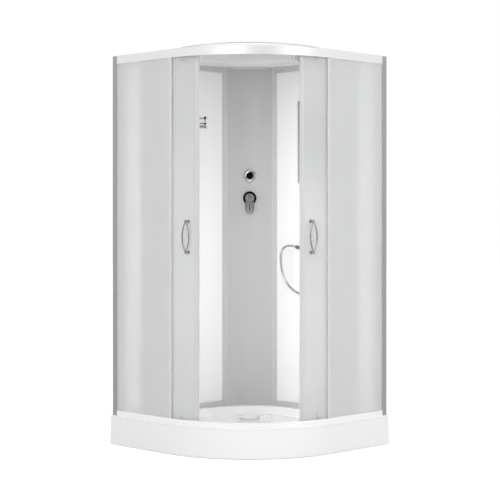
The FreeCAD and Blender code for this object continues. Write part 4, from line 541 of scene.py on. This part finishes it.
def turned(outline, sides=64, hollow=False):
    """A round blank drawn ring by ring along its axis; a hollow one ends on its first ring."""
    lay_down()
    radius, level = outline[0]
    bpy.ops.mesh.primitive_circle_add(vertices=sides, radius=radius,
                                      fill_type="NOTHING" if hollow else "NGON")
    piece = bpy.context.object
    bpy.ops.object.mode_set(mode="EDIT")
    bpy.ops.mesh.select_all(action="SELECT")
    bpy.ops.transform.translate(value=(0, 0, level))
    for wide, height in outline[1:] + (outline[:1] if hollow else []):
        rise = {"value": (0, 0, height - level)}
        if hollow:
            bpy.ops.mesh.extrude_edges_move(TRANSFORM_OT_translate=rise)
        else:
            bpy.ops.mesh.extrude_region_move(TRANSFORM_OT_translate=rise)
        grow = wide / radius
        bpy.ops.transform.resize(value=(grow, grow, 1), center_override=(0, 0, height))
        radius, level = wide, height
    bpy.ops.object.mode_set(mode="OBJECT")
    return piece


def slab(size, centre):
    """A square blank of a size about a centre."""
    lay_down()
    bpy.ops.mesh.primitive_cube_add(size=1)
    piece = bpy.context.object
    piece.scale = size
    piece.location = centre
    bpy.ops.object.transform_apply(location=True, rotation=True, scale=True)
    return piece


def round_corners(piece, radius, along, accepts, segments=8):
    """Bevels the edges that run along an axis and that a test on their middle accepts."""
    def upright(start, end):
        return (end - start).normalized().cross(along).length < 0.01 and accepts((start + end) / 2)
    pick(piece, edges=upright)
    bpy.ops.mesh.bevel(offset=radius, segments=segments, affect="EDGES")
    bpy.ops.object.mode_set(mode="OBJECT")


def arc(centre, radius, start, end, count):
    """Points of an outline on an arc, in the plane of radius and height."""
    spots = []
    for step in range(count + 1):
        turn = math.radians(start + (end - start) * step / count)
        spots.append((centre[0] + radius * math.cos(turn), centre[1] + radius * math.sin(turn)))
    return spots


def fit(piece, body, *nodes, slot=None):
    """Makes a finished piece ride on a body, and stand for its CAD nodes."""
    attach(piece, body)
    if nodes:
        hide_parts(*nodes)
    return piece


# ---- places ----------------------------------------------------------------------------------

TAP_BACK = REAR_CORNER.y - 0.1447946     # back of the cover plates
MIXER_HEIGHT = 1.262
DIVERTER_HEIGHT = 1.384
DOOR_POLE = Vector((-0.0624971, 0.1316263, 0))   # the right door's turning centre, doors shut
DOOR_SWING = math.radians(22.086)        # from shut to open
GLASS_OUTSIDE = 0.527                    # radius from the arc centre, doors shut
TRACK = 0.507                            # radius of the wheels' middle
CARRIER_ANGLES = {"lead": 11.2, "trail": 33.3}


def axes(across, upward, forward, place):
    """A frame from its three directions and its place."""
    frame = Matrix((across, upward, forward)).transposed().to_4x4()
    frame.translation = place
    return frame


def cabin_point(x, y, z):
    """A point of the cabin frame, in mm: x along the left wall, y along the right wall."""
    return Vector(((y - x) * DIAGONAL / 1000, ARC_CENTRE.y - (x + y) * DIAGONAL / 1000, z / 1000))


def wall_point(along, depth, height):
    """A point by the right wall, in mm: distance from the corner, from its face, height."""
    x = WALL_FACE - WALL_EDGE + depth / 1000
    y = along / 1000 - WALL_EDGE
    return Vector(((y - x) * DIAGONAL, ARC_CENTRE.y - (x + y) * DIAGONAL, height / 1000))


def right_wall(along, depth, height):
    """On the right wall: X along it, Y up, Z into the cabin."""
    return axes(Vector((DIAGONAL, -DIAGONAL, 0)), UP, Vector((-DIAGONAL, -DIAGONAL, 0)),
                wall_point(along, depth, height))


def left_wall(along, depth, height):
    """On the left wall: X towards the corner, Y up, Z into the cabin."""
    place = MIRROR @ wall_point(along, depth, height)
    return axes(Vector((DIAGONAL, DIAGONAL, 0)), UP, Vector((DIAGONAL, -DIAGONAL, 0)), place)


def tap_frame(height):
    """At the back of a cover plate on the column: Y up, Z towards the front."""
    return axes(Vector((1, 0, 0)), UP, Vector((0, -1, 0)), Vector((0, TAP_BACK, height)))


def door_frame(angle, radius, height):
    """On the open right door: X along the door, Y up, Z out of the glass."""
    turn = math.radians(angle)
    out = Vector((math.sin(turn), -math.cos(turn), 0))
    along = Vector((math.cos(turn), math.sin(turn), 0))
    pole = Matrix.Translation(DOOR_POLE)
    swung = pole @ Matrix.Rotation(DOOR_SWING, 4, "Z") @ pole.inverted()
    spot = axes(along, UP, out, out * radius + UP * height)
    return Matrix.Translation(ARC_CENTRE) @ swung @ spot


# ---- shower hose -----------------------------------------------------------------------------

HOSE_RADIUS = 0.007
HOSE_PITCH = 0.0042                      # from hoop to hoop
HOSE_GROOVE = 0.9                        # share of the radius between two hoops
HOSE_SIDES = 14
HOSE_ROUTE = [                           # as wall_point takes them, in mm
    (415.5, 51.1, 999.8), (400, 77.9, 1008.1), (385, 103.9, 997.2), (375.8, 119.8, 971),
    (373, 118, 926), (376, 113, 872), (394, 107, 820), (428, 101, 780), (472, 96, 756),
    (524, 92, 744), (582, 88, 741), (636, 85, 762), (682, 81, 812), (706, 77, 886),
    (720, 72, 984), (727, 64, 1110), (730, 54, 1260), (732, 42, 1400), (731.5, 28, 1475),
    (731, 18.5, 1545), (730, 17.2, 1601.3), (730, 28.76, 1644.39)]


def spline_points(route):
    """Evenly read points of the smooth line through the route."""
    curve = bpy.data.curves.new("hose_line", "CURVE")
    curve.dimensions = "3D"
    curve.resolution_u = 24
    spline = curve.splines.new("NURBS")
    spline.points.add(len(route) - 1)
    for point, place in zip(spline.points, route):
        point.co = (*place, 1)
    spline.order_u = 3
    spline.use_endpoint_u = True
    holder = bpy.data.objects.new("hose_line", curve)
    mesh = bpy.data.meshes.new_from_object(holder)
    points = [vertex.co.copy() for vertex in mesh.vertices]
    bpy.data.objects.remove(holder)
    bpy.data.meshes.remove(mesh)
    return points


def walk(points, step):
    """Points and headings at equal steps along a line."""
    spots = []
    travelled = 0.0
    wanted = 0.0
    for first, second in zip(points, points[1:]):
        run = (second - first).length
        while run > 0 and wanted <= travelled + run:
            share = (wanted - travelled) / run
            spots.append((first.lerp(second, share), (second - first).normalized()))
            wanted += step
        travelled += run
    spots.append((points[-1].copy(), (points[-1] - points[-2]).normalized()))
    return spots


def add_hose():
    """A wound metal hose: narrow hoops, one beside the other."""
    route = [wall_point(*spot) for spot in HOSE_ROUTE]
    line = spline_points(route)
    mesh = bmesh.new()
    rings = []
    spots = walk(line, HOSE_PITCH / 2)
    across = spots[0][1].orthogonal().normalized()
    for count, (centre, heading) in enumerate(spots):
        across = (across - heading * across.dot(heading)).normalized()
        other = heading.cross(across)
        radius = HOSE_RADIUS * (1.0 if count % 2 else HOSE_GROOVE)
        ring = []
        for step in range(HOSE_SIDES):
            turn = 2 * math.pi * step / HOSE_SIDES
            offset = across * math.cos(turn) + other * math.sin(turn)
            ring.append(mesh.verts.new(centre + offset * radius))
        rings.append(ring)
    for low, high in zip(rings, rings[1:]):
        for step in range(HOSE_SIDES):
            after = (step + 1) % HOSE_SIDES
            mesh.faces.new((low[step], low[after], high[after], high[step]))
    mesh.faces.new(reversed(rings[0]))
    mesh.faces.new(rings[-1])
    data = bpy.data.meshes.new("shower_hose_wound")
    mesh.to_mesh(data)
    mesh.free()
    for face in data.polygons:
        face.use_smooth = len(face.vertices) == 4
    hose = bpy.data.objects.new("shower_hose_wound", data)
    bpy.context.collection.objects.link(hose)
    data.materials.append(wound_steel.material)
    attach(hose, "cabin")
    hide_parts("shower_hose")


# ---- mixer and diverter ----------------------------------------------------------------------

BALL_DEPTH = 0.026                       # centre of the mixer's ball, out from the plate's back
BALL_RADIUS = 0.022
DOME_INSIDE = 0.0224
DOME_OUTSIDE = 0.0255
PADDLE_TOP = -0.016                      # where the paddle starts to slope back
PADDLE_SLOPE = 0.09


def add_cover_plates():
    mixer = turned([(0.0223, 0), (0.0372, 0), (0.0375, 0.0005), (0.0375, 0.0030),
                    (0.0372, 0.0044), (0.0366, 0.0053), (0.0357, 0.0058), (0.0352, 0.0059),
                    (0.0350, 0.0059), (0.0264, 0.0059), (0.0262, 0.0059), (0.0258, 0.0062),
                    (0.0254, 0.0076), (0.0250, 0.0080), (0.0223, 0.0080)], 96, hollow=True)
    finished(mixer, "mixer_cover_plate", tap_frame(MIXER_HEIGHT), chrome_painted_dark_reflection)
    fit(mixer, "cabin", "mixer_plate", slot="fitting_chrome")
    diverter = turned([(0.0203, 0), (0.0372, 0), (0.0375, 0.0005), (0.0375, 0.0018),
                       (0.0366, 0.0028), (0.0345, 0.0040), (0.0310, 0.0055), (0.0275, 0.0067),
                       (0.0240, 0.0076), (0.0222, 0.0080), (0.0203, 0.0080)], 96, hollow=True)
    finished(diverter, "diverter_cover_plate", tap_frame(DIVERTER_HEIGHT), chrome)
    fit(diverter, "cabin", "diverter_plate", slot="fitting_chrome")


def add_mixer_swivel():
    """The ball under the lever, with a pin on each side."""
    ball = turned([(0.0061, 0.0228), (0.0061, 0.0123)]
                  + arc((0, BALL_DEPTH), BALL_RADIUS, -38, 88, 22), 48)
    pin = turned([(0.0019, -0.0249), (0.0024, -0.0244), (0.0024, 0.0244), (0.0019, 0.0249)], 20)
    across = Matrix.Rotation(math.pi / 2, 4, "Y")
    pin.data.transform(Matrix.Translation((0, 0, BALL_DEPTH)) @ across)
    swivel = joined([ball, pin], "mixer_ball")
    finished(swivel, "mixer_ball", tap_frame(MIXER_HEIGHT), chrome_painted_dark_reflection)
    fit(swivel, "mixer_swivel_body", "mixer_swivel", slot="fitting_chrome")


def add_mixer_lever():
    """A domed cap that runs down into a wide, thin paddle with a groove."""
    middle = (0, BALL_DEPTH)
    dome = turned([(0.0030, 0.0484)] + arc(middle, DOME_INSIDE, 82, -12, 16)
                  + arc(middle, DOME_OUTSIDE, -11, 86, 26), 72)
    paddle = slab((0.046, 0.068, 0.009), (0, -0.050, 0.0335))
    round_corners(paddle, 0.0222, UP, lambda middle: middle.y < -0.08, 12)
    round_corners(paddle, 0.012, UP, lambda middle: middle.y > -0.02, 5)
    pick(paddle, faces=lambda centre, normal: normal.z > 0.9)
    bpy.ops.mesh.inset(thickness=0.0035, depth=0.0)
    bpy.ops.transform.translate(value=(0, 0, 0.0008))
    bpy.ops.mesh.inset(thickness=0.0035, depth=0.0)
    bpy.ops.transform.translate(value=(0, 0, 0.0002))
    rounded(paddle, 0.0022, 4, 40)
    for vertex in paddle.data.vertices:
        vertex.co.z -= PADDLE_SLOPE * (PADDLE_TOP - vertex.co.y)
    groove = slab((0.003, 0.040, 0.006), (0, -0.050, 0.0364))
    round_corners(groove, 0.00148, UP, lambda middle: True, 4)
    combined(paddle, groove, "DIFFERENCE")
    room = turned([(0.0100, 0.0150)] + arc(middle, DOME_INSIDE, -20, 84, 12), 48)
    combined(paddle, room, "DIFFERENCE")
    lever = combined(dome, paddle, "UNION")
    finished(lever, "mixer_paddle_lever", tap_frame(MIXER_HEIGHT), chrome_painted_dim_reflection, 28)
    fit(lever, "mixer_lever_body", "mixer_lever", slot="fitting_chrome")


def add_diverter_knob():
    knob = turned([(0.0061, 0.0283), (0.0061, 0.0123), (0.0165, 0.0123), (0.0186, 0.0130),
                   (0.0195, 0.0150), (0.0195, 0.0176), (0.0189, 0.0181), (0.0189, 0.0189),
                   (0.0195, 0.0194), (0.0195, 0.0318), (0.0190, 0.0334), (0.0176, 0.0344),
                   (0.0174, 0.0345), (0.0172, 0.0345), (0.0080, 0.0345),
                   (0.0020, 0.0345)], 72)
    mark = slab((0.0016, 0.0055, 0.004), (0, 0.0165, 0.0350))
    round_corners(mark, 0.0007, UP, lambda middle: True, 3)
    combined(knob, mark, "DIFFERENCE")
    finished(knob, "diverter_turning_knob", tap_frame(DIVERTER_HEIGHT), chrome_painted_dark_reflection)
    fit(knob, "diverter_knob_body", "diverter_knob", slot="fitting_chrome")


# ---- doors -----------------------------------------------------------------------------------

HANDLE_ANGLE = 6.5
HANDLE_HEIGHT = 1.059
HANDLE_HALF = 0.075
HANDLE_BOW = 0.0185
HANDLE_THICK = 0.0036                    # radius of a bar at its middle
HANDLE_DEPTH = 0.0262                    # of the bars, out from the glass
SCREW_HEIGHTS = (0.190, 1.924)
WHEELS = {"roller": (0.0105, 1.9528), "guide": (0.0080, 0.1603)}     # rim and height


def handle_bow(side):
    """One bowed bar, thick in the middle and drawn thin towards its ends."""
    curve = bpy.data.curves.new("handle_bow", "CURVE")
    curve.dimensions = "3D"
    curve.bevel_depth = HANDLE_THICK
    curve.bevel_resolution = 6
    curve.use_fill_caps = True
    tall = HANDLE_HALF + 0.0016
    radius = (HANDLE_BOW ** 2 + tall ** 2) / (2 * HANDLE_BOW)
    half = math.asin(tall / radius)
    steps = 40
    spline = curve.splines.new("POLY")
    spline.points.add(steps)
    for step, point in enumerate(spline.points):
        share = 2 * step / steps - 1
        turn = share * half
        across = side * (HANDLE_BOW - radius * (1 - math.cos(turn)))
        point.co = (across, radius * math.sin(turn), HANDLE_DEPTH, 1)
        point.radius = 1 - 0.22 * share ** 4
    lay_down()
    bow = bpy.data.objects.new("handle_bow", curve)
    bpy.context.collection.objects.link(bow)
    take_up(bow)
    bpy.ops.object.convert(target="MESH")
    return bpy.context.object


def handle_foot(side):
    """Collar on the glass, stem, rounded knuckle, and the screw and washer inside."""
    foot = turned([(0.0040, -0.0039), (0.0040, -0.0001), (0.0084, 0.0001), (0.0084, 0.0010),
                   (0.0078, 0.0018), (0.0062, 0.0022), (0.0055, 0.0034), (0.0052, 0.0070),
                   (0.0052, 0.0160), (0.0058, 0.0195), (0.0068, 0.0222), (0.0071, 0.0248),
                   (0.0069, 0.0270), (0.0060, 0.0288), (0.0045, 0.0297), (0.0020, 0.0300)], 40)
    washer = turned([(0.0022, -0.0068), (0.0022, -0.0080), (0.0052, -0.0080), (0.0060, -0.0076),
                     (0.0063, -0.0068), (0.0066, -0.0062), (0.0084, -0.0058), (0.0090, -0.0052),
                     (0.0090, -0.0044), (0.0086, -0.0041), (0.0041, -0.0041)], 40)
    for piece in (foot, washer):
        piece.data.transform(Matrix.Translation((0, side * HANDLE_HALF, 0)))
    return [foot, washer]


def add_handles():
    parts = [handle_bow(-1), handle_bow(1)] + handle_foot(-1) + handle_foot(1)
    frame = door_frame(HANDLE_ANGLE, GLASS_OUTSIDE, HANDLE_HEIGHT)
    right = finished(joined(parts, "handle"), "bowed_handle_right", frame, chrome_painted_dim_reflection, 40)
    left = copied(right, "bowed_handle_left", MIRROR)
    fit(right, "door_right", "door_handle_right", slot="fitting_chrome")
    fit(left, "door_left", "door_handle_left", slot="fitting_chrome")


def add_screw_caps():
    """Domed caps over the screws that hold the hangers and the guides."""
    cap = turned([(0.0076, 0.0001), (0.0076, 0.0012), (0.0072, 0.0020), (0.0062, 0.0026),
                  (0.0046, 0.0031), (0.0026, 0.0033), (0.0020, 0.0033), (0.0018, 0.0026),
                  (0.0010, 0.0025)], 32)
    finished(cap, "screw_cap", Matrix(), carrier_plastic)
    frames = [door_frame(angle, GLASS_OUTSIDE, height) for angle in CARRIER_ANGLES.values()
              for height in SCREW_HEIGHTS]
    right = repeated(cap, "screw_caps_right", frames)
    left = copied(right, "screw_caps_left", MIRROR)
    fit(right, "door_right", slot="carrier_plastic")
    fit(left, "door_left", slot="carrier_plastic")


def wheel_outline(rim):
    """Section of a wheel with a bearing let into each side."""
    half = [(0.00305, 0.0030), (0.0044, 0.0030), (0.0047, 0.0024), (rim - 0.0026, 0.0024),
            (rim - 0.0022, 0.0030), (rim - 0.0008, 0.0030), (rim - 0.0002, 0.0026),
            (rim, 0.0021)]
    return [(radius, -height) for radius, height in half] + half[::-1]


def add_wheels():
    """Eight wheels; the names of their bodies are those of their nodes."""
    for kind, (rim, height) in WHEELS.items():
        for place, angle in CARRIER_ANGLES.items():
            wheel = turned(wheel_outline(rim), 40, hollow=True)
            frame = door_frame(angle, TRACK, height)
            right = finished(wheel, f"{kind}_wheel_right_{place}", frame, white_nylon)
            left = copied(right, f"{kind}_wheel_left_{place}", MIRROR)
            for side, piece in (("right", right), ("left", left)):
                name = f"{kind}_{side}_{place}"
                fit(piece, name, name, slot="wheel_nylon")


# ---- overhead shower and handset -------------------------------------------------------------

OVERHEAD_BALL = (0.310, ARC_CENTRE.y - 0.004, 1.998)
OVERHEAD_TILT = math.radians(-15)
OVERHEAD_FACE = -0.0197                  # level of the spray plate's face, below the ball
HANDSET_PIVOT = (730, 45, 1705)          # as right_wall takes it, in mm
HANDSET_TILT = math.radians(15)
HANDSET_FACE = -0.0003
OUTLET_PLACE = (430, 0, 992)
OUTLET_BALL = 0.026                      # centre of the elbow, out from the wall
OUTLET_RISE = math.radians(15)
OUTLET_SWING = math.radians(30)


def ringed(count_of_rings, first, step):
    """Places of nozzles on rings about the middle, six more on each ring."""
    spots = [(0, 0)]
    for ring in range(count_of_rings):
        radius = first + ring * step
        for number in range(6 * (ring + 1)):
            turn = 2 * math.pi * number / (6 * (ring + 1))
            spots.append((radius * math.cos(turn), radius * math.sin(turn)))
    return spots


def spray_nozzles(name, spots, level, frame):
    """Small rubber cones that stand out of a spray plate."""
    nozzle = turned([(0.0017, 0.0), (0.0014, -0.0006), (0.0009, -0.0012), (0.0004, -0.0010)], 8)
    finished(nozzle, "nozzle", Matrix(), nozzle_rubber)
    frames = [frame @ Matrix.Translation((x, y, level)) for x, y in spots]
    return repeated(nozzle, name, frames)


def add_overhead_head():
    """Round rose on a ball joint, with its spray plate and nozzles."""
    frame = Matrix.Translation(OVERHEAD_BALL) @ Matrix.Rotation(OVERHEAD_TILT, 4, "X")
    head = turned([(0.0810, -0.0182), (0.0815, -0.0200), (0.0905, -0.0200), (0.0930, -0.0194),
                   (0.0945, -0.0180), (0.0950, -0.0162), (0.0946, -0.0146), (0.0934, -0.0134),
                   (0.0900, -0.0129), (0.0600, -0.0121), (0.0300, -0.0112), (0.0230, -0.0106),
                   (0.0180, -0.0096), (0.0152, -0.0078), (0.0140, -0.0052), (0.0138, 0.0006),
                   (0.0132, 0.0018), (0.0120, 0.0020), (0.0094, 0.0020)]
                  + arc((0, 0), 0.0091, 10, -84, 10), 96)
    finished(head, "overhead_shower_rose", frame, chrome)
    fit(head, "overhead_head_body", "overhead_head", slot="fitting_chrome")
    plate = turned([(0.0785, -0.0183), (0.0805, -0.0185), (0.0805, -0.0192), (0.0795, -0.0196),
                    (0.0740, -0.0197), (0.0020, -0.0197)], 96)
    finished(plate, "overhead_spray_plate", frame, spray_grey)
    fit(plate, "overhead_head_body", slot="fitting_chrome")
    nozzles = spray_nozzles("overhead_nozzles", ringed(7, 0.0105, 0.0105), OVERHEAD_FACE, frame)
    fit(nozzles, "overhead_head_body", slot="fitting_chrome")


def add_handset():
    """Tapered handle with a ribbed hose nut, and a round head with its spray plate."""
    holder = right_wall(*HANDSET_PIVOT)
    upright = holder @ Matrix(((0, 1, 0, 0), (0, 0, 1, 0), (1, 0, 0, 0), (0, 0, 0, 1)))
    frame = upright @ Matrix.Rotation(HANDSET_TILT, 4, "Y")
    handle = turned([(0.0066, -0.0620), (0.0085, -0.0618), (0.0095, -0.0605), (0.0095, -0.0462),
                     (0.0090, -0.0450), (0.0096, -0.0438), (0.0112, -0.0400), (0.0130, -0.0300),
                     (0.0139, -0.0180), (0.0139, 0.0160), (0.0136, 0.0320), (0.0128, 0.0560),
                     (0.0120, 0.0850), (0.0118, 0.1020), (0.0116, 0.1160), (0.0095, 0.1200),
                     (0.0040, 0.1215)], 56)
    pick(handle, faces=lambda centre, normal: -0.060 < centre.z < -0.047 and abs(normal.z) < 0.3)
    bpy.ops.mesh.inset(thickness=0.00022, depth=0.0006, use_individual=True)
    bpy.ops.object.mode_set(mode="OBJECT")
    rose = turned([(0.0330, 0.0012), (0.0335, 0), (0.0385, 0.0000), (0.0408, 0.0009),
                   (0.0421, 0.0027), (0.0425, 0.0050), (0.0423, 0.0080), (0.0408, 0.0112),
                   (0.0360, 0.0160), (0.0290, 0.0205), (0.0200, 0.0238), (0.0100, 0.0256),
                   (0.0020, 0.0260)], 80)
    face = Matrix.Translation((0.015, 0, 0.13925)) @ Matrix.Rotation(math.radians(-90), 4, "Y")
    rose.data.transform(face)
    handset = finished(joined([handle, rose], "handset"), "hand_shower", frame, chrome)
    fit(handset, "handset_body", "handset", slot="fitting_chrome")
    plate = turned([(0.0315, 0.0016), (0.0326, 0.0010), (0.0326, 0.0002), (0.0318, -0.0002),
                    (0.0020, -0.0003)], 64)
    finished(plate, "hand_shower_spray_plate", frame @ face, spray_grey)
    fit(plate, "handset_body", slot="fitting_chrome")
    nozzles = spray_nozzles("hand_shower_nozzles", ringed(4, 0.0068, 0.0068), HANDSET_FACE,
                            frame @ face)
    fit(nozzles, "handset_body", slot="fitting_chrome")


def add_hose_outlet():
    """Escutcheon, neck, ball elbow, and the fluted nut that holds the hose."""
    wall = right_wall(*OUTLET_PLACE)
    flange = turned([(0.0070, -0.0038), (0.0070, 0.0002), (0.0236, 0.0002), (0.0240, 0.0008),
                     (0.0238, 0.0022), (0.0225, 0.0040), (0.0195, 0.0055), (0.0160, 0.0064),
                     (0.0135, 0.0080), (0.0122, 0.0110), (0.0120, 0.0160)]
                    + arc((0, OUTLET_BALL), 0.0130, -24, 86, 14), 64)
    level = math.cos(OUTLET_RISE)
    heading = Vector((-math.sin(OUTLET_SWING) * level, math.sin(OUTLET_RISE),
                      math.cos(OUTLET_SWING) * level))
    turn = heading.to_track_quat("Z", "Y").to_matrix().to_4x4()
    nozzle = turned([(0.0080, 0.0), (0.0084, 0.0125), (0.0094, 0.0130), (0.0100, 0.0138),
                     (0.0100, 0.0225), (0.0096, 0.0235), (0.0088, 0.0240), (0.0092, 0.0246),
                     (0.0092, 0.0270), (0.0084, 0.0290), (0.0072, 0.0300), (0.0040, 0.0302)], 48)
    pick(nozzle, faces=lambda centre, normal: 0.014 < centre.z < 0.0224 and abs(normal.z) < 0.3)
    bpy.ops.mesh.inset(thickness=0.0002, depth=-0.0005, use_individual=True)
    bpy.ops.object.mode_set(mode="OBJECT")
    nozzle.data.transform(Matrix.Translation((0, 0, OUTLET_BALL)) @ turn)
    outlet = finished(joined([flange, nozzle], "outlet"), "hose_wall_outlet", wall, chrome_painted_dim_reflection)
    fit(outlet, "cabin", "hose_outlet", slot="fitting_chrome")


# ---- mirror and shelf ------------------------------------------------------------------------

MIRROR_SIZE = (0.280, 0.440, 0.004)
MIRROR_PLACE = (528, 0, 1561)            # as right_wall takes it, in mm
MIRROR_BORDER = 0.010
MIRROR_EDGE = 0.0026                     # thickness at the edge of the border
SHELF_SIZE = (0.300, 0.005, 0.0977)
SHELF_ALONG = 600                        # its middle, as left_wall takes it, in mm
SHELF_HEIGHT = 1637
POSTS_ALONG = (462, 738)
RAIL_DEPTH = 108
JOINT_LIFTS = (14, 42)
POST_TOP = 47


def add_mirror():
    """Silvered glass with a bevelled border."""
    wide, tall, thick = MIRROR_SIZE
    sheet = slab(MIRROR_SIZE, (0, 0, thick / 2))
    pick(sheet, faces=lambda centre, normal: normal.z > 0.9)
    bpy.ops.mesh.inset(thickness=MIRROR_BORDER, depth=0.0)
    bpy.ops.object.mode_set(mode="OBJECT")
    half_border = MIRROR_BORDER / 2
    for vertex in sheet.data.vertices:
        outer = (abs(vertex.co.x) > wide / 2 - half_border
                 or abs(vertex.co.y) > tall / 2 - half_border)
        if outer and vertex.co.z > MIRROR_EDGE:
            vertex.co.z = MIRROR_EDGE
    finished(sheet, "bevelled_mirror", right_wall(*MIRROR_PLACE), mirror_silver, 5)
    fit(sheet, "cabin", "mirror", slot="mirror_glass")


def add_shelf():
    """Glass plate with round front corners, and ball joints where rails meet posts."""
    plate = slab(SHELF_SIZE, (0, SHELF_SIZE[1] / 2, 0.05415))
    along = Vector((0, 1, 0))
    round_corners(plate, 0.018, along, lambda middle: middle.z > 0.1, 8)
    rounded(plate, 0.0012, 3, 40)
    finished(plate, "shelf_plate", left_wall(SHELF_ALONG, 0, SHELF_HEIGHT), clear)
    fit(plate, "cabin", "shelf_glass", slot="shelf_glass")
    ball = turned([(0.0020, -0.0072)] + arc((0, 0), 0.0070, -66, 66, 12)
                  + [(0.0020, 0.0072)], 32)
    finished(ball, "joint_ball", Matrix(), chrome_painted_dark_reflection)
    frames = [left_wall(spot, RAIL_DEPTH, SHELF_HEIGHT + lift) for spot in POSTS_ALONG
              for lift in JOINT_LIFTS]
    frames += [left_wall(spot, RAIL_DEPTH, SHELF_HEIGHT + POST_TOP) for spot in POSTS_ALONG]
    fit(repeated(ball, "shelf_joint_balls", frames), "cabin", slot="fitting_chrome")


# ---- waste and feet --------------------------------------------------------------------------

WASTE_PLACE = (-174, -174)               # as cabin_point takes it, in mm
FEET = [(-330, -330), (425, -330), (-330, 425), (110, 110), (355, 110), (110, 355)]
THREAD_PITCH = 0.00175


def add_waste_cover():
    """Lift-out cover with a raised rim, on the stem that guides it."""
    place = Matrix.Translation((0, cabin_point(*WASTE_PLACE, 0).y, 0))
    cover = turned([(0.0030, 0.0630), (0.0040, 0.0640), (0.0040, 0.0905), (0.0070, 0.0910),
                    (0.0500, 0.0910), (0.0552, 0.0914), (0.0560, 0.0924), (0.0556, 0.0938),
                    (0.0535, 0.0952), (0.0505, 0.0959), (0.0497, 0.0954), (0.0485, 0.0954),
                    (0.0478, 0.0962), (0.0380, 0.0971), (0.0200, 0.0978), (0.0030, 0.0980)], 80)
    finished(cover, "waste_lift_cover", place, trap_plastic)
    fit(cover, "waste_cover_body", "waste_cover", slot="waste_plastic")


def add_feet():
    """Threaded studs with hexagon nuts, on ribbed pads."""
    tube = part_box("tray_frame")[0][2]
    thread = []
    level = 0.0082
    while level < tube + 0.0150:
        thread += [(0.0059, level), (0.0053, level + THREAD_PITCH / 2)]
        level += THREAD_PITCH
    stud = turned([(0.0048, 0.0081)] + thread + [(0.0048, tube + 0.0158)], 18)
    nut = turned([(0.0088, tube - 0.0079), (0.0101, tube - 0.0072), (0.0101, tube - 0.0008),
                  (0.0088, tube - 0.0001)], 6)
    washer = turned([(0.0098, tube - 0.0092), (0.0100, tube - 0.0090), (0.0100, tube - 0.0082),
                     (0.0098, tube - 0.0080)], 32)
    set_of_three = finished(joined([stud, nut, washer], "stud"), "stud", Matrix(), stud_steel)
    frames = [Matrix.Translation(cabin_point(x, y, 0)) for x, y in FEET]
    studs = repeated(set_of_three, "threaded_studs", frames)
    fit(studs, "cabin", "foot_studs", slot="stud_steel")
    pad = turned([(0.0215, 0), (0.0230, 0.0003), (0.0238, 0.0012), (0.0240, 0.0026),
                  (0.0240, 0.0046), (0.0234, 0.0056), (0.0220, 0.0060), (0.0196, 0.0064),
                  (0.0150, 0.0092), (0.0120, 0.0126), (0.0110, 0.0137), (0.0100, 0.0140),
                  (0.0064, 0.0140), (0.0060, 0.0136), (0.0060, 0.0080)], 48)
    pick(pad, faces=lambda centre, normal: 0.0066 < centre.z < 0.0120
         and centre.to_2d().length > 0.01 and math.degrees(math.atan2(centre.y, centre.x)) % 30 < 15)
    bpy.ops.mesh.inset(thickness=0.0002, depth=-0.0010)
    bpy.ops.object.mode_set(mode="OBJECT")
    finished(pad, "pad", Matrix(), black_plastic)
    pads = repeated(pad, "ribbed_foot_pads", frames)
    fit(pads, "cabin", "foot_pads", slot="pad_plastic")


add_camera()
add_hose()
add_lamps()
add_world()
add_floor()
dress_nodes()
add_cover_plates()
add_mixer_swivel()
add_mixer_lever()
add_diverter_knob()
add_handles()
add_screw_caps()
add_wheels()
add_overhead_head()
add_handset()
add_hose_outlet()
add_mirror()
add_shelf()
add_waste_cover()
add_feet()
lay_down()
